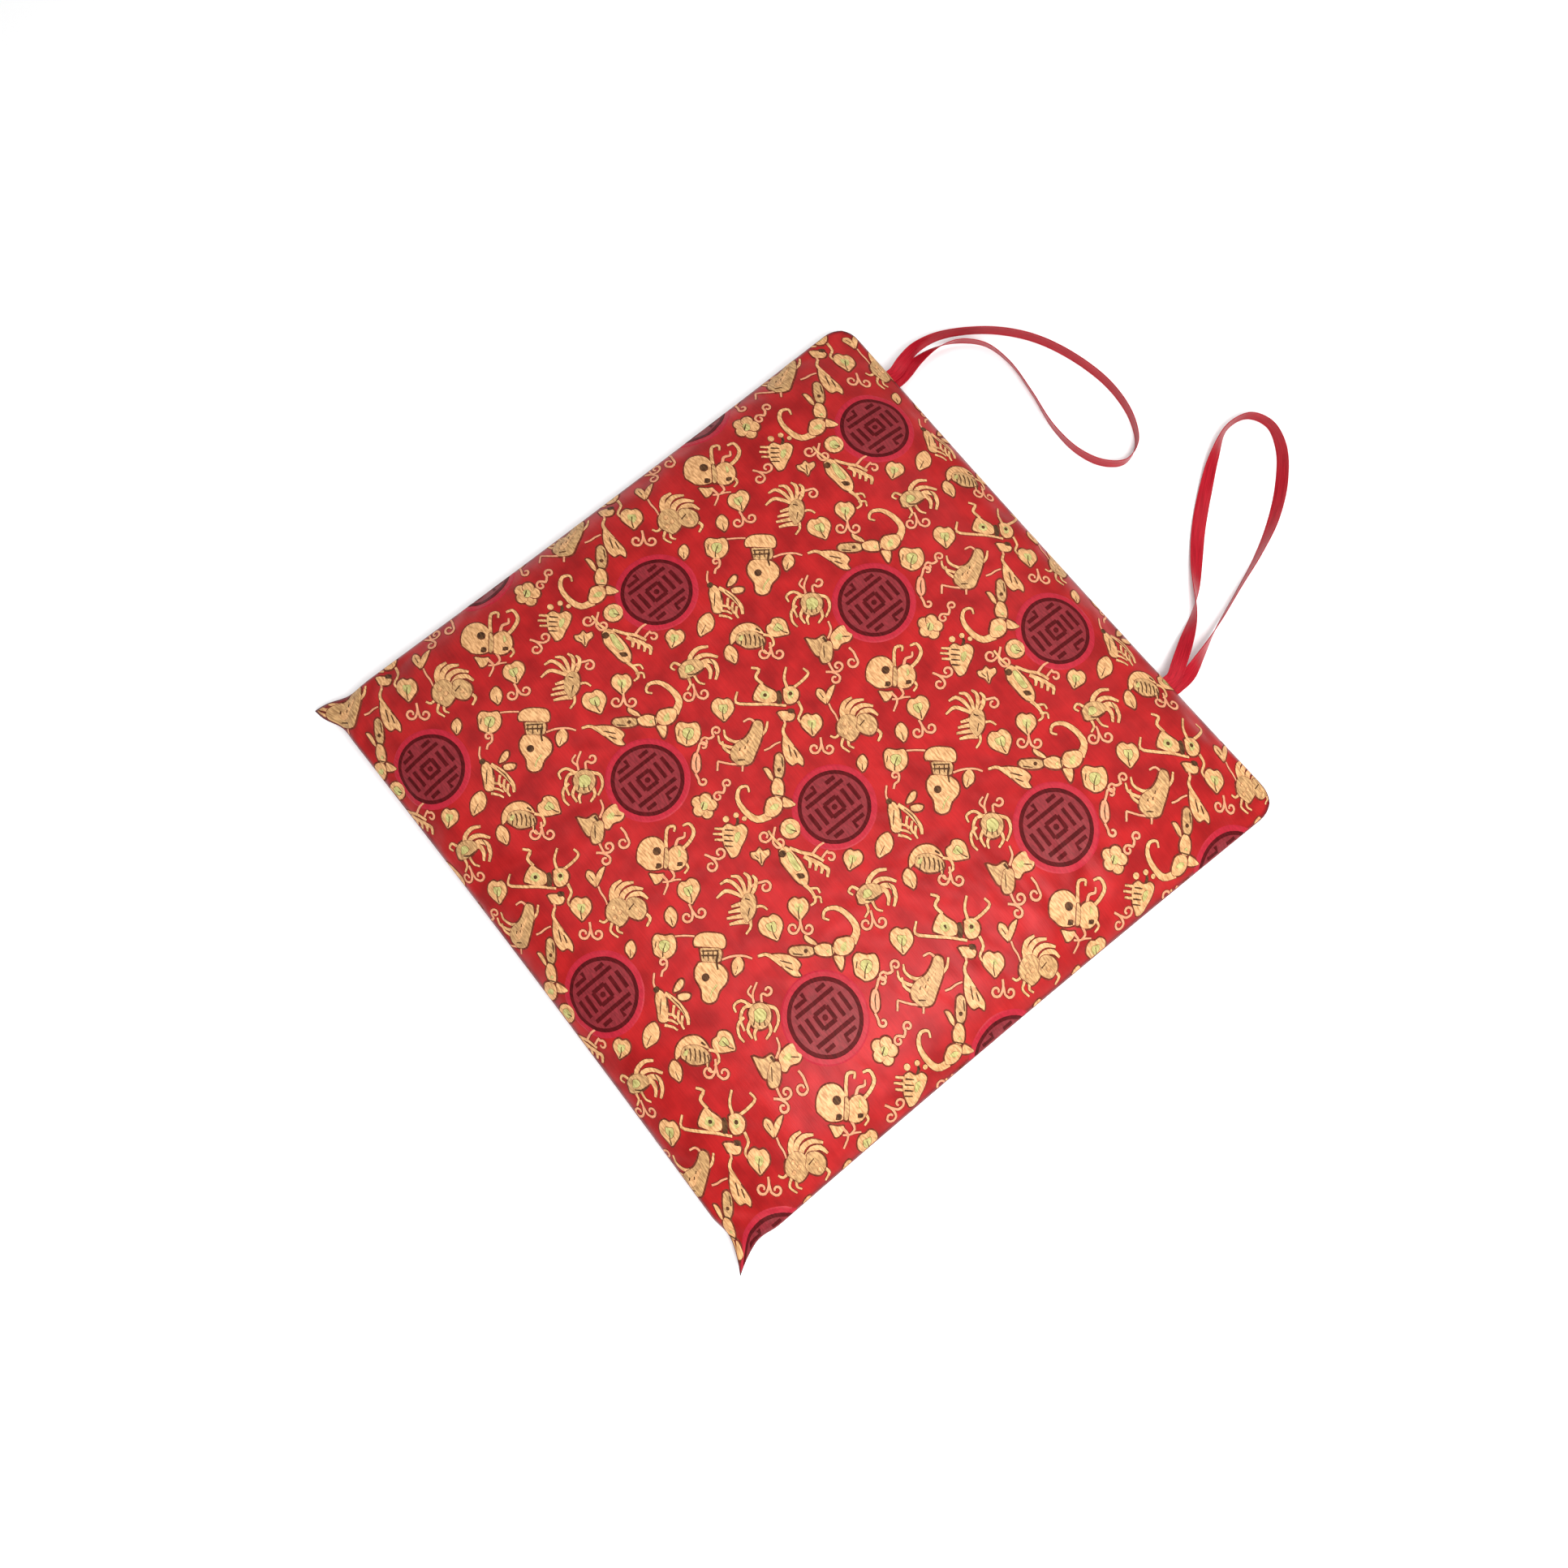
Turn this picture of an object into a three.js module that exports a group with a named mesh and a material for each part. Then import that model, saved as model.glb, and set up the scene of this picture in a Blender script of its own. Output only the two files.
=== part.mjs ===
import * as THREE from 'three';

// A flat square chair pad in brocade, lying on its back, with two ribbon tie loops
// sewn into the seam of its back edge. Millimetres, +Z up, +Y towards the back edge.

// The sewn cover
const SIDE = 400;             // seam to seam, the common size of a small seat pad
const HALF = SIDE / 2;
const SEAM_HEIGHT = 15;       // of the seam above the surface the pad lies on
const CROWN = 21;             // of the face above the seam
const FACE_RUN = 95;          // from the seam to where the face is level
const UNDER_RUN = 55;         // from the seam to where the underside is flat
const RUN_POWER = 2.5;        // how gently a run meets its level part
const EDGE_POWER = 0.75;      // under 1 makes the cloth leave the seam steeply
const SIDE_PULL = 1.8;        // how far each side is drawn in at its middle
const BACK_CORNER_RADIUS = 15;

// The two front corners are drawn out into small ears
const EAR_REACH = 12;         // past the sewn corner, along the diagonal
const EAR_ROOT = 15;          // along each side, where an ear begins
const EAR_FLARE = 0.8;        // keeps the tip blunt
const EAR_FLARE_ROOT = 11;
const EAR_DROOP = 9;          // of the tip below the seam
const EAR_THICKNESS = 4;

// Distances of the grid lines from a side, close together where the cloth rolls over
const EDGE_LINES = [0, 2, 5, 9, 13, 18, 24, 31, 39, 47, UNDER_RUN];
const LEVEL_LINES = 15;       // equal steps from there to the middle

// Soft troughs in the face, from one point to another
const CREASES = [
  { from: [109, 196], to: [96, 148], depth: 3.2, width: 7 },
  { from: [99, 176], to: [64, 150], depth: 1.6, width: 8 },
  { from: [-148, 197], to: [-132, 160], depth: 2.0, width: 8 },
  { from: [-74, 190], to: [-22, 164], depth: 1.4, width: 9 },
  { from: [-56, -192], to: [-40, -138], depth: 2.0, width: 7 },
  { from: [-184, -184], to: [-150, -150], depth: 1.6, width: 9 },
  { from: [184, -184], to: [150, -150], depth: 1.6, width: 9 },
];

// Narrow satin ribbon, drawn a little thicker than woven
const RIBBON_WIDTH = 9;
const RIBBON_THICKNESS = 0.9;
const RIBBON_STEPS = 72;
const SEWN_GAP = 0.3;         // between a ribbon's cut end and the seam it is sewn into

const clamp01 = (value) => Math.min(Math.max(value, 0), 1);

// Each loop's route in plan, from the seam, round and back to the seam. lift is how far
// the ribbon's lower edge is off the surface, lean is 0 where it lies flat and 90 on edge.
const LOOP_LEFT = [
  { x: -151.5, y: seamAt(-151.5) + SEWN_GAP, lift: 15.1, lean: 0 },
  { x: -151.5, y: 203, lift: 15.1, lean: 0 },
  { x: -154.5, y: 212, lift: 12.5, lean: 25 },
  { x: -158.5, y: 226, lift: 6.5, lean: 62 },
  { x: -157.5, y: 243, lift: 2.0, lean: 82 },
  { x: -149, y: 261, lift: 0.4, lean: 90 },
  { x: -135, y: 278, lift: 0.1, lean: 90 },
  { x: -116, y: 292, lift: 0.1, lean: 90 },
  { x: -90, y: 302, lift: 0.1, lean: 90 },
  { x: -62, y: 306, lift: 0.1, lean: 90 },
  { x: -38, y: 302, lift: 0.1, lean: 90 },
  { x: -22, y: 292, lift: 0.1, lean: 90 },
  { x: -18, y: 279, lift: 0.1, lean: 90 },
  { x: -26, y: 268, lift: 0.1, lean: 90 },
  { x: -42, y: 261, lift: 0.1, lean: 86 },
  { x: -64, y: 260, lift: 0.1, lean: 80 },
  { x: -90, y: 265, lift: 0.1, lean: 74 },
  { x: -115, y: 268, lift: 0.1, lean: 72 },
  { x: -134, y: 264, lift: 0.6, lean: 74 },
  { x: -146, y: 252, lift: 2.0, lean: 76 },
  { x: -151, y: 237, lift: 5.0, lean: 58 },
  { x: -150.5, y: 220, lift: 9.5, lean: 30 },
  { x: -148, y: 209, lift: 12.6, lean: 10 },
  { x: -147, y: 203, lift: 13.9, lean: 0 },
  { x: -147, y: seamAt(-147) + SEWN_GAP, lift: 13.9, lean: 0 },
];
const LOOP_RIGHT = [
  { x: 105, y: seamAt(105) + SEWN_GAP, lift: 15.1, lean: 0 },
  { x: 105, y: 203, lift: 15.1, lean: 0 },
  { x: 100, y: 213, lift: 12.4, lean: -10 },
  { x: 92, y: 228, lift: 6.5, lean: -35 },
  { x: 82, y: 244, lift: 1.6, lean: -82 },
  { x: 71, y: 257, lift: 0.3, lean: -128 },
  { x: 58, y: 270, lift: 0.1, lean: -158 },
  { x: 43, y: 286, lift: 0.1, lean: -172 },
  { x: 28, y: 305, lift: 0.1, lean: -168 },
  { x: 14, y: 325, lift: 0.1, lean: -140 },
  { x: 5, y: 344, lift: 0.1, lean: -100 },
  { x: 8, y: 359, lift: 0.1, lean: -90 },
  { x: 20, y: 365, lift: 0.1, lean: -92 },
  { x: 36, y: 360, lift: 0.1, lean: -112 },
  { x: 53, y: 345, lift: 0.1, lean: -126 },
  { x: 68, y: 324, lift: 0.1, lean: -122 },
  { x: 79, y: 301, lift: 0.1, lean: -104 },
  { x: 88, y: 276, lift: 0.3, lean: -92 },
  { x: 97, y: 250, lift: 2.0, lean: -86 },
  { x: 104, y: 230, lift: 6.0, lean: -58 },
  { x: 109, y: 213, lift: 10.8, lean: -18 },
  { x: 109.5, y: 203, lift: 13.9, lean: 0 },
  { x: 109.5, y: seamAt(109.5) + SEWN_GAP, lift: 13.9, lean: 0 },
];

const BROCADE = new THREE.MeshStandardMaterial({ color: 0xc8202c, roughness: 0.42, metalness: 0 });
const SATIN_RIBBON = new THREE.MeshStandardMaterial({ color: 0xc4202c, roughness: 0.38, metalness: 0 });

// 0 at a side and 1 where the run is over
const run = (fromSide, length) => 1 - (1 - clamp01(fromSide / length)) ** RUN_POWER;

const rise = (fromX, fromY, length) => (run(fromX, length) * run(fromY, length)) ** EDGE_POWER;

// How deep the creases are at a point of the face
function creaseDepth(x, y) {
  let depth = 0;
  for (const crease of CREASES) {
    const [x0, y0] = crease.from;
    const alongX = crease.to[0] - x0;
    const alongY = crease.to[1] - y0;
    const length = Math.hypot(alongX, alongY);
    const share = ((x - x0) * alongX + (y - y0) * alongY) / length ** 2;
    const near = clamp01(share);
    const off = Math.hypot(x - x0 - near * alongX, y - y0 - near * alongY);
    depth += crease.depth * (1 - 0.7 * near) * Math.exp(-((off / crease.width) ** 2));
  }
  return depth;
}

// Where a point of the flat square cover lies in plan once the cover is sewn and filled
function sewnPlan(x, y) {
  const fromX = HALF - Math.abs(x);
  const fromY = HALF - Math.abs(y);
  const signX = Math.sign(x);
  const signY = Math.sign(y);
  let planX = x - signX * SIDE_PULL * (1 - (y / HALF) ** 2) * (Math.abs(x) / HALF) ** 3;
  let planY = y - signY * SIDE_PULL * (1 - (x / HALF) ** 2) * (Math.abs(y) / HALF) ** 3;
  const fromCorner = fromX + fromY;
  if (y > 0) {
    // A rounded corner: what lies outside the arc is drawn back onto it
    const r = BACK_CORNER_RADIUS;
    const overX = r - fromX;
    const overY = r - fromY;
    if (overX > 0 && overY > 0) {
      const square = Math.max(overX, overY);
      const shrink = square / Math.hypot(overX, overY);
      planX -= signX * overX * (1 - shrink);
      planY -= signY * overY * (1 - shrink);
    }
  } else if (fromCorner < EAR_ROOT) {
    const reach = (EAR_REACH / Math.SQRT2) * (1 - fromCorner / EAR_ROOT);
    const flare = (EAR_FLARE / 2) * clamp01(1 - fromCorner / EAR_FLARE_ROOT) * (fromX - fromY);
    planX += signX * (reach - flare);
    planY += signY * (reach + flare);
  }
  return [planX, planY];
}

// Where the back seam lies in plan
function seamAt(x) {
  return sewnPlan(x, HALF)[1];
}

// An ear is thin, and its tip hangs below the seam
function earShare(x, y) {
  if (y > 0) return 0;
  return clamp01(1 - (HALF - Math.abs(x) + HALF - Math.abs(y)) / (2 * EAR_ROOT)) ** 1.5;
}

function seamHeight(x, y) {
  return SEAM_HEIGHT - EAR_DROOP * earShare(x, y);
}

function facePoint(x, y) {
  const fromX = HALF - Math.abs(x);
  const fromY = HALF - Math.abs(y);
  const [planX, planY] = sewnPlan(x, y);
  const lift = CROWN * rise(fromX, fromY, FACE_RUN);
  const crease = creaseDepth(x, y) * clamp01(Math.min(fromX, fromY) / EAR_ROOT);
  const onEar = earShare(x, y) * clamp01(Math.min(fromX, fromY) / 2) * (EAR_THICKNESS / 2);
  return [planX, planY, seamHeight(x, y) + Math.max(lift, onEar) - crease];
}

function underPoint(x, y) {
  const fromX = HALF - Math.abs(x);
  const fromY = HALF - Math.abs(y);
  const [planX, planY] = sewnPlan(x, y);
  const seam = seamHeight(x, y);
  return [planX, planY, seam * (1 - rise(fromX, fromY, UNDER_RUN))];
}

// The grid lines across the square cover, from one side to the other
function gridLines() {
  const half = EDGE_LINES.map((fromSide) => -HALF + fromSide);
  const levelStart = half[half.length - 1];
  for (let step = 1; step <= LEVEL_LINES; step++) {
    half.push(levelStart * (1 - step / LEVEL_LINES));
  }
  const middle = half.length - 1;
  return half.concat(half.slice(0, middle).reverse().map((line) => -line));
}

// One closed skin: the face and the underside share the seam's points
function makeCushion() {
  const lines = gridLines();
  const last = lines.length - 1;
  const flatStart = EDGE_LINES.length - 1;
  const flatEnd = last - flatStart;
  const position = [];
  const index = [];
  const onSeam = (i, j) => i === 0 || j === 0 || i === last || j === last;
  const insideFlat = (i, j) => i > flatStart && j > flatStart && i < flatEnd && j < flatEnd;
  const addPoint = (point) => position.push(...point) / 3 - 1;

  const face = lines.map((x) => lines.map((y) => addPoint(facePoint(x, y))));
  const under = lines.map((x, i) => lines.map((y, j) => {
    if (onSeam(i, j)) return face[i][j];
    return insideFlat(i, j) ? -1 : addPoint(underPoint(x, y));
  }));

  for (let i = 0; i < last; i++) {
    for (let j = 0; j < last; j++) {
      // Each square is split along the diagonal that points at the middle
      const rising = (i < last / 2) === (j < last / 2);
      const addSquare = (grid, faceUp) => {
        const [a, b, c, d] = [grid[i][j], grid[i + 1][j], grid[i + 1][j + 1], grid[i][j + 1]];
        const triangles = rising ? [[a, b, c], [a, c, d]] : [[a, b, d], [b, c, d]];
        for (const [p, q, r] of triangles) index.push(...(faceUp ? [p, q, r] : [p, r, q]));
      };
      addSquare(face, true);
      const inFlat = i >= flatStart && j >= flatStart && i < flatEnd && j < flatEnd;
      if (!inFlat) addSquare(under, false);
    }
  }

  // The flat part of the underside, filled across from its rim
  const rim = [];
  for (let k = flatStart; k < flatEnd; k++) rim.push(under[k][flatStart]);
  for (let k = flatStart; k < flatEnd; k++) rim.push(under[flatEnd][k]);
  for (let k = flatEnd; k > flatStart; k--) rim.push(under[k][flatEnd]);
  for (let k = flatEnd; k > flatStart; k--) rim.push(under[flatStart][k]);
  const centre = addPoint([0, 0, 0]);
  rim.forEach((point, k) => index.push(point, centre, rim[(k + 1) % rim.length]));

  const geometry = new THREE.BufferGeometry();
  geometry.setAttribute('position', new THREE.Float32BufferAttribute(position, 3));
  geometry.setIndex(index);
  geometry.computeVertexNormals();
  return geometry;
}

// A flat ribbon swept along a loop's route, leaning as its table says
function makeRibbon(route) {
  const curve = new THREE.CatmullRomCurve3(
    route.map((row) => new THREE.Vector3(row.x, row.y, row.lift)), false, 'centripetal');
  const lean = new THREE.CatmullRomCurve3(
    route.map((row, k) => new THREE.Vector3(k, row.lean, 0)), false, 'centripetal');
  const up = new THREE.Vector3(0, 0, 1);
  const position = [];
  const index = [];
  for (let step = 0; step <= RIBBON_STEPS; step++) {
    const t = step / RIBBON_STEPS;
    const centre = curve.getPoint(t);
    const along = curve.getTangent(t);
    const level = new THREE.Vector3().crossVectors(up, along).normalize();
    const angle = THREE.MathUtils.degToRad(lean.getPoint(t).y);
    const rising = new THREE.Vector3().crossVectors(along, level).normalize();
    const across = level.clone().multiplyScalar(Math.cos(angle)).addScaledVector(rising, Math.sin(angle));
    const through = new THREE.Vector3().crossVectors(along, across).normalize();
    const halfRise = (Math.abs(across.z) * RIBBON_WIDTH + Math.abs(through.z) * RIBBON_THICKNESS) / 2;
    centre.z += halfRise;
    for (const [w, h] of [[-1, -1], [1, -1], [1, 1], [-1, 1]]) {
      const corner = centre.clone()
        .addScaledVector(across, (w * RIBBON_WIDTH) / 2)
        .addScaledVector(through, (h * RIBBON_THICKNESS) / 2);
      position.push(corner.x, corner.y, corner.z);
    }
  }
  for (let step = 0; step < RIBBON_STEPS; step++) {
    for (let side = 0; side < 4; side++) {
      const a = step * 4 + side;
      const b = step * 4 + ((side + 1) % 4);
      index.push(a, b, b + 4, a, b + 4, a + 4);
    }
  }
  const end = RIBBON_STEPS * 4;
  index.push(0, 3, 2, 0, 2, 1, end, end + 1, end + 2, end, end + 2, end + 3);
  const geometry = new THREE.BufferGeometry();
  geometry.setAttribute('position', new THREE.Float32BufferAttribute(position, 3));
  geometry.setIndex(index);
  geometry.computeVertexNormals();
  return geometry;
}

function namedMesh(name, geometry, material) {
  const mesh = new THREE.Mesh(geometry, material);
  mesh.name = name;
  return mesh;
}

const cushion = namedMesh('cushion', makeCushion(), BROCADE);
cushion.geometry.computeBoundingBox();
const middle = cushion.geometry.boundingBox.getCenter(new THREE.Vector3());

// The ears reach past the front corners, so the sewn square sits a little behind the
// middle of the whole cushion, which is the origin
const group = new THREE.Group();
group.name = 'chair_pad';
group.position.set(-middle.x, -middle.y, 0);
group.add(cushion);
group.add(namedMesh('tie_loop_left', makeRibbon(LOOP_LEFT), SATIN_RIBBON));
group.add(namedMesh('tie_loop_right', makeRibbon(LOOP_RIGHT), SATIN_RIBBON));

export default group;
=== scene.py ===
# %% [markdown]
# A flat square chair pad in red brocade, with two ribbon loops that tie it to a chair.
# The construction model is loaded first and never touched. It gives the real size and the place
# of every piece, so all that follows is built in its frame, in metres, with +Z up.

# %% Load the frame
import math
from contextlib import contextmanager

import bpy
import numpy as np
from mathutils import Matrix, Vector


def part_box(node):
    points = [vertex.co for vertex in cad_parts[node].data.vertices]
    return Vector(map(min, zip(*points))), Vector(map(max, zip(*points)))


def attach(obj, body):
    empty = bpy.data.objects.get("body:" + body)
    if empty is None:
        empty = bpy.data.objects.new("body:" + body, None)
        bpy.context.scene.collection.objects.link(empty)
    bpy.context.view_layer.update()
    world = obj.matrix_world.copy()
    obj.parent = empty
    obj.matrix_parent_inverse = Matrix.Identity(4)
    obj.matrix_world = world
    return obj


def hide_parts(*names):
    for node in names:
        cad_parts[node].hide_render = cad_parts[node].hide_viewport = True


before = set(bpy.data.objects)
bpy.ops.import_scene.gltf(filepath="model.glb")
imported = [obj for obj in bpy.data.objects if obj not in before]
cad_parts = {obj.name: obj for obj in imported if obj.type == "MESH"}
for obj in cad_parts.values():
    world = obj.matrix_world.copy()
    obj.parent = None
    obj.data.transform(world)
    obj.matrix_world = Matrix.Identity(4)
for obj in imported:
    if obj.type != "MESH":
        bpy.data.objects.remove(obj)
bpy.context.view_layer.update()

# %% [markdown]
# Loading leaves the model's parts selected, and an operator acts on all that is selected. So one
# helper clears the selection, and another names the object that the last operator made. A third
# opens Edit Mode with everything selected, for the indented lines below it. The last one reads a
# value of every point or corner of a mesh at once, which is much faster than a loop.

# %% Helpers for selecting, naming and reading
MM = 0.001


def deselect_all():
    if bpy.context.object and bpy.context.object.mode != "OBJECT":
        bpy.ops.object.mode_set(mode="OBJECT")
    bpy.ops.object.select_all(action="DESELECT")


def select_only(piece):
    deselect_all()
    piece.select_set(True)
    bpy.context.view_layer.objects.active = piece


def name_active(name):
    piece = bpy.context.object
    piece.name = name
    piece.data.name = name
    return piece


@contextmanager
def edit_mode():
    """Edit Mode for the indented lines, with everything selected"""
    bpy.ops.object.mode_set(mode="EDIT")
    bpy.ops.mesh.select_all(action="SELECT")
    yield
    bpy.ops.object.mode_set(mode="OBJECT")


def read_all(items, name, width=1, kind=float):
    values = np.empty(len(items) * width, kind)
    items.foreach_get(name, values)
    return values.reshape(-1, width) if width > 1 else values

# %% [markdown]
# The camera stands almost straight above the pad, turned by about 45 degrees and 11 degrees off
# the upright. It was worked out from the pad's four corners and the even spacing of the roundels.
# `to_track_quat` aims the camera's -Z axis, and a last turn about that axis gives the roll.

# %% Camera
CAMERA_PLACE = Vector((0.1251, -0.0828, 0.7179))
CAMERA_AIM = Vector((0.0091, -0.0118, 0.0170))
CAMERA_ROLL = math.radians(-7.54)
CAMERA_LENS = 27.95
SENSOR_WIDTH = 36
NEAREST_SEEN = 0.01

deselect_all()
bpy.ops.object.camera_add(location=CAMERA_PLACE)
camera = name_active("camera")
camera.rotation_euler = (CAMERA_AIM - CAMERA_PLACE).to_track_quat("-Z", "Y").to_euler()
camera.rotation_euler.rotate_axis("Z", CAMERA_ROLL)
camera.data.lens = CAMERA_LENS
camera.data.sensor_width = SENSOR_WIDTH
camera.data.clip_start = NEAREST_SEEN
bpy.context.scene.camera = camera
print("camera is", round((CAMERA_AIM - CAMERA_PLACE).length, 3), "m from the pad")

# %% [markdown]
# A plain pale floor and large soft lights, as in a product studio. Wide area lights give soft
# shadows, and the world's even grey fills them. "Standard" shows colours as they are, with no film
# curve, which suits a picture on a white ground.

# %% Floor and lights
FLOOR_SIZE = 12
FLOOR_WHITE = 0.93
WORLD_GREY = 0.55
LIGHTS = [
    {"name": "right_softbox", "place": (0.42, -0.02, 0.78), "size": 0.4, "watts": 8.5},
    {"name": "back_softbox", "place": (-0.15, 1.00, 1.30), "size": 0.9, "watts": 7},
    {"name": "top_softbox", "place": (-0.30, -0.60, 1.90), "size": 1.4, "watts": 9},
]


def start_finish(material, **values):
    """Gives a material its shader, with these values on the shader's own inputs"""
    material.use_nodes = True
    shader = material.node_tree.nodes["Principled BSDF"]
    for name, value in values.items():
        shader.inputs[name.replace("_", " ")].default_value = value
    return shader


deselect_all()
bpy.ops.mesh.primitive_plane_add(size=FLOOR_SIZE)
floor = name_active("floor")
floor.data.materials.append(bpy.data.materials.new("pale_floor"))
start_finish(floor.data.materials[0], Base_Color=(FLOOR_WHITE, FLOOR_WHITE, FLOOR_WHITE, 1), Roughness=0.9,
             Specular_IOR_Level=0.1)

world = bpy.data.worlds.new("studio")
bpy.context.scene.world = world
world.use_nodes = True
sky = world.node_tree.nodes["Background"]
sky.inputs["Color"].default_value = (1, 1, 1, 1)
sky.inputs["Strength"].default_value = WORLD_GREY

for row in LIGHTS:
    bpy.ops.object.light_add(type="AREA", location=row["place"])
    light = name_active(row["name"])
    light.data.size = row["size"]
    light.data.energy = row["watts"]
    light.rotation_euler = (-Vector(row["place"])).to_track_quat("-Z", "Y").to_euler()

bpy.context.scene.view_settings.view_transform = "Standard"
print("lights:", ", ".join(row["name"] for row in LIGHTS))

# %% [markdown]
# The cover is two squares of cloth, sewn edge to edge, turned and filled. These are the sizes of
# the construction model's pad. The ears at the two front corners reach further out than the back
# corners do, so the sewn square's middle lies a little behind the middle of the whole pad. The
# right ear is folded, so it is pinched narrower than the left.

# %% Sizes of the sewn cover
SIDE = 400 * MM
HALF = SIDE / 2
SEAM_HEIGHT = 15 * MM
CROWN = 21 * MM
FACE_RUN = 95 * MM
UNDER_RUN = 55 * MM
RUN_POWER = 2.5
EDGE_POWER = 0.75
SIDE_PULL = 1.8 * MM
BACK_CORNER_RADIUS = 15 * MM
EAR_REACH = 12 * MM
EAR_ROOT = 15 * MM
EAR_FLARE = 0.8
EAR_FLARE_ROOT = 11 * MM
EAR_PINCH = 0.6
EAR_PINCH_ROOT = 24 * MM
EAR_DROOP = 9 * MM
EAR_THICKNESS = 4 * MM

cushion_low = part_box("cushion")[0]
SQUARE_MIDDLE_Y = cushion_low.y + HALF + EAR_REACH / math.sqrt(2)
print("the sewn square's middle is", round(SQUARE_MIDDLE_Y / MM, 2), "mm behind the origin")

# %% [markdown]
# Each tie is one length of satin ribbon, folded double, with both ends caught in the back seam.
# Ribbon is limp across its face and stiff across its width, so most of each loop stands on its
# edge. The route is a short list of given points, as in the construction model: where the
# ribbon is in plan, how far its lower edge is off the floor, and how far it leans, from 0 degrees
# for flat to 90 for on edge. A centripetal spline runs smoothly through such uneven points.

# %% Routes of the ribbon loops
RIBBON_WIDTH = 9 * MM
RIBBON_STEPS = 260
SEWN_IN = 2.5


def in_seam(x):
    """A place just inside the back seam, mm"""
    half = HALF / MM
    return half - SIDE_PULL / MM * (1 - (x / half) ** 2) - SEWN_IN


ROUTE_LEFT = [  # x, y, lift in mm, lean in degrees
    (-151.5, in_seam(-151.5), 15.1, 0), (-151.5, 203, 15.1, 0), (-154.5, 212, 12.5, 25),
    (-158.5, 226, 6.5, 62), (-157.5, 243, 2.0, 82), (-149, 261, 0.4, 90), (-135, 278, 0.1, 90),
    (-116, 292, 0.1, 90), (-90, 302, 0.1, 90), (-62, 306, 0.1, 90), (-38, 302, 0.1, 90),
    (-22, 292, 0.1, 90), (-18, 279, 0.1, 90), (-26, 268, 0.1, 90), (-42, 261, 0.1, 86),
    (-64, 260, 0.1, 80), (-90, 265, 0.1, 74), (-115, 268, 0.1, 72), (-134, 264, 0.6, 74),
    (-146, 252, 2.0, 76), (-151, 237, 5.0, 58), (-150.5, 220, 9.5, 30), (-148, 209, 12.6, 10),
    (-147, 203, 13.9, 0), (-147, in_seam(-147), 13.9, 0),
]
ROUTE_RIGHT = [
    (105, in_seam(105), 15.1, 0), (105, 203, 15.1, 0), (100, 213, 12.4, -10), (92, 228, 6.5, -35),
    (82, 244, 1.6, -82), (71, 257, 0.3, -128), (58, 270, 0.1, -158), (43, 286, 0.1, -172),
    (28, 305, 0.1, -168), (14, 325, 0.1, -140), (5, 344, 0.1, -100), (8, 359, 0.1, -90),
    (20, 365, 0.1, -92), (36, 360, 0.1, -112), (53, 345, 0.1, -126), (68, 324, 0.1, -122),
    (79, 301, 0.1, -104), (88, 276, 0.3, -92), (97, 250, 2.0, -86), (104, 230, 6.0, -58),
    (109, 213, 10.8, -18), (109.5, 203, 13.9, 0), (109.5, in_seam(109.5), 13.9, 0),
]


def spline_through(rows, steps):
    """Centripetal Catmull-Rom points through rows, spaced by their first three columns"""
    rows = np.array(rows, float)
    rows = np.vstack([2 * rows[0] - rows[1], rows, 2 * rows[-1] - rows[-2]])
    spans = np.sqrt(np.linalg.norm(np.diff(rows[:, :3], axis=0), axis=1))
    t = np.linspace(0, len(rows) - 3, steps + 1)
    k = np.minimum(t.astype(int), len(rows) - 4)
    s = (t - k)[:, None]
    before, here, after = (spans[k + n][:, None] for n in range(3))
    p0, p1, p2, p3 = (rows[k + n] for n in range(4))
    leave = ((p1 - p0) / before - (p2 - p0) / (before + here) + (p2 - p1) / here) * here
    arrive = ((p2 - p1) / here - (p3 - p1) / (here + after) + (p3 - p2) / after) * here
    bend = 3 * (p2 - p1) - 2 * leave - arrive
    return p1 + s * leave + s**2 * bend + s**3 * (leave + arrive - 2 * (p2 - p1))


print("points by hand:", len(ROUTE_LEFT), "for the left loop and", len(ROUTE_RIGHT), "for the right one")

# %% [markdown]
# The ribbon's section is thin in the middle, with a thicker woven edge on each side. It is swept
# along the route: at each step the section's width points across the route, tilted by the lean.
# A swept mesh is used because a curve object's own bevel would twist where the lean changes fast.
# One flat map serves the weave and the bake: u runs along the ribbon, and v once around it.

# %% Weave the ribbon along its route
SECTION = [  # across the ribbon and half its thickness there, mm
    (-4.50, 0.00), (-4.40, 0.24), (-4.10, 0.28), (-3.80, 0.20), (-2.40, 0.15), (-0.80, 0.14),
    (0.80, 0.14), (2.40, 0.15), (3.80, 0.20), (4.10, 0.28), (4.40, 0.24), (4.50, 0.00),
]


def unit(vectors):
    return vectors / np.linalg.norm(vectors, axis=1, keepdims=True)


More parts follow.
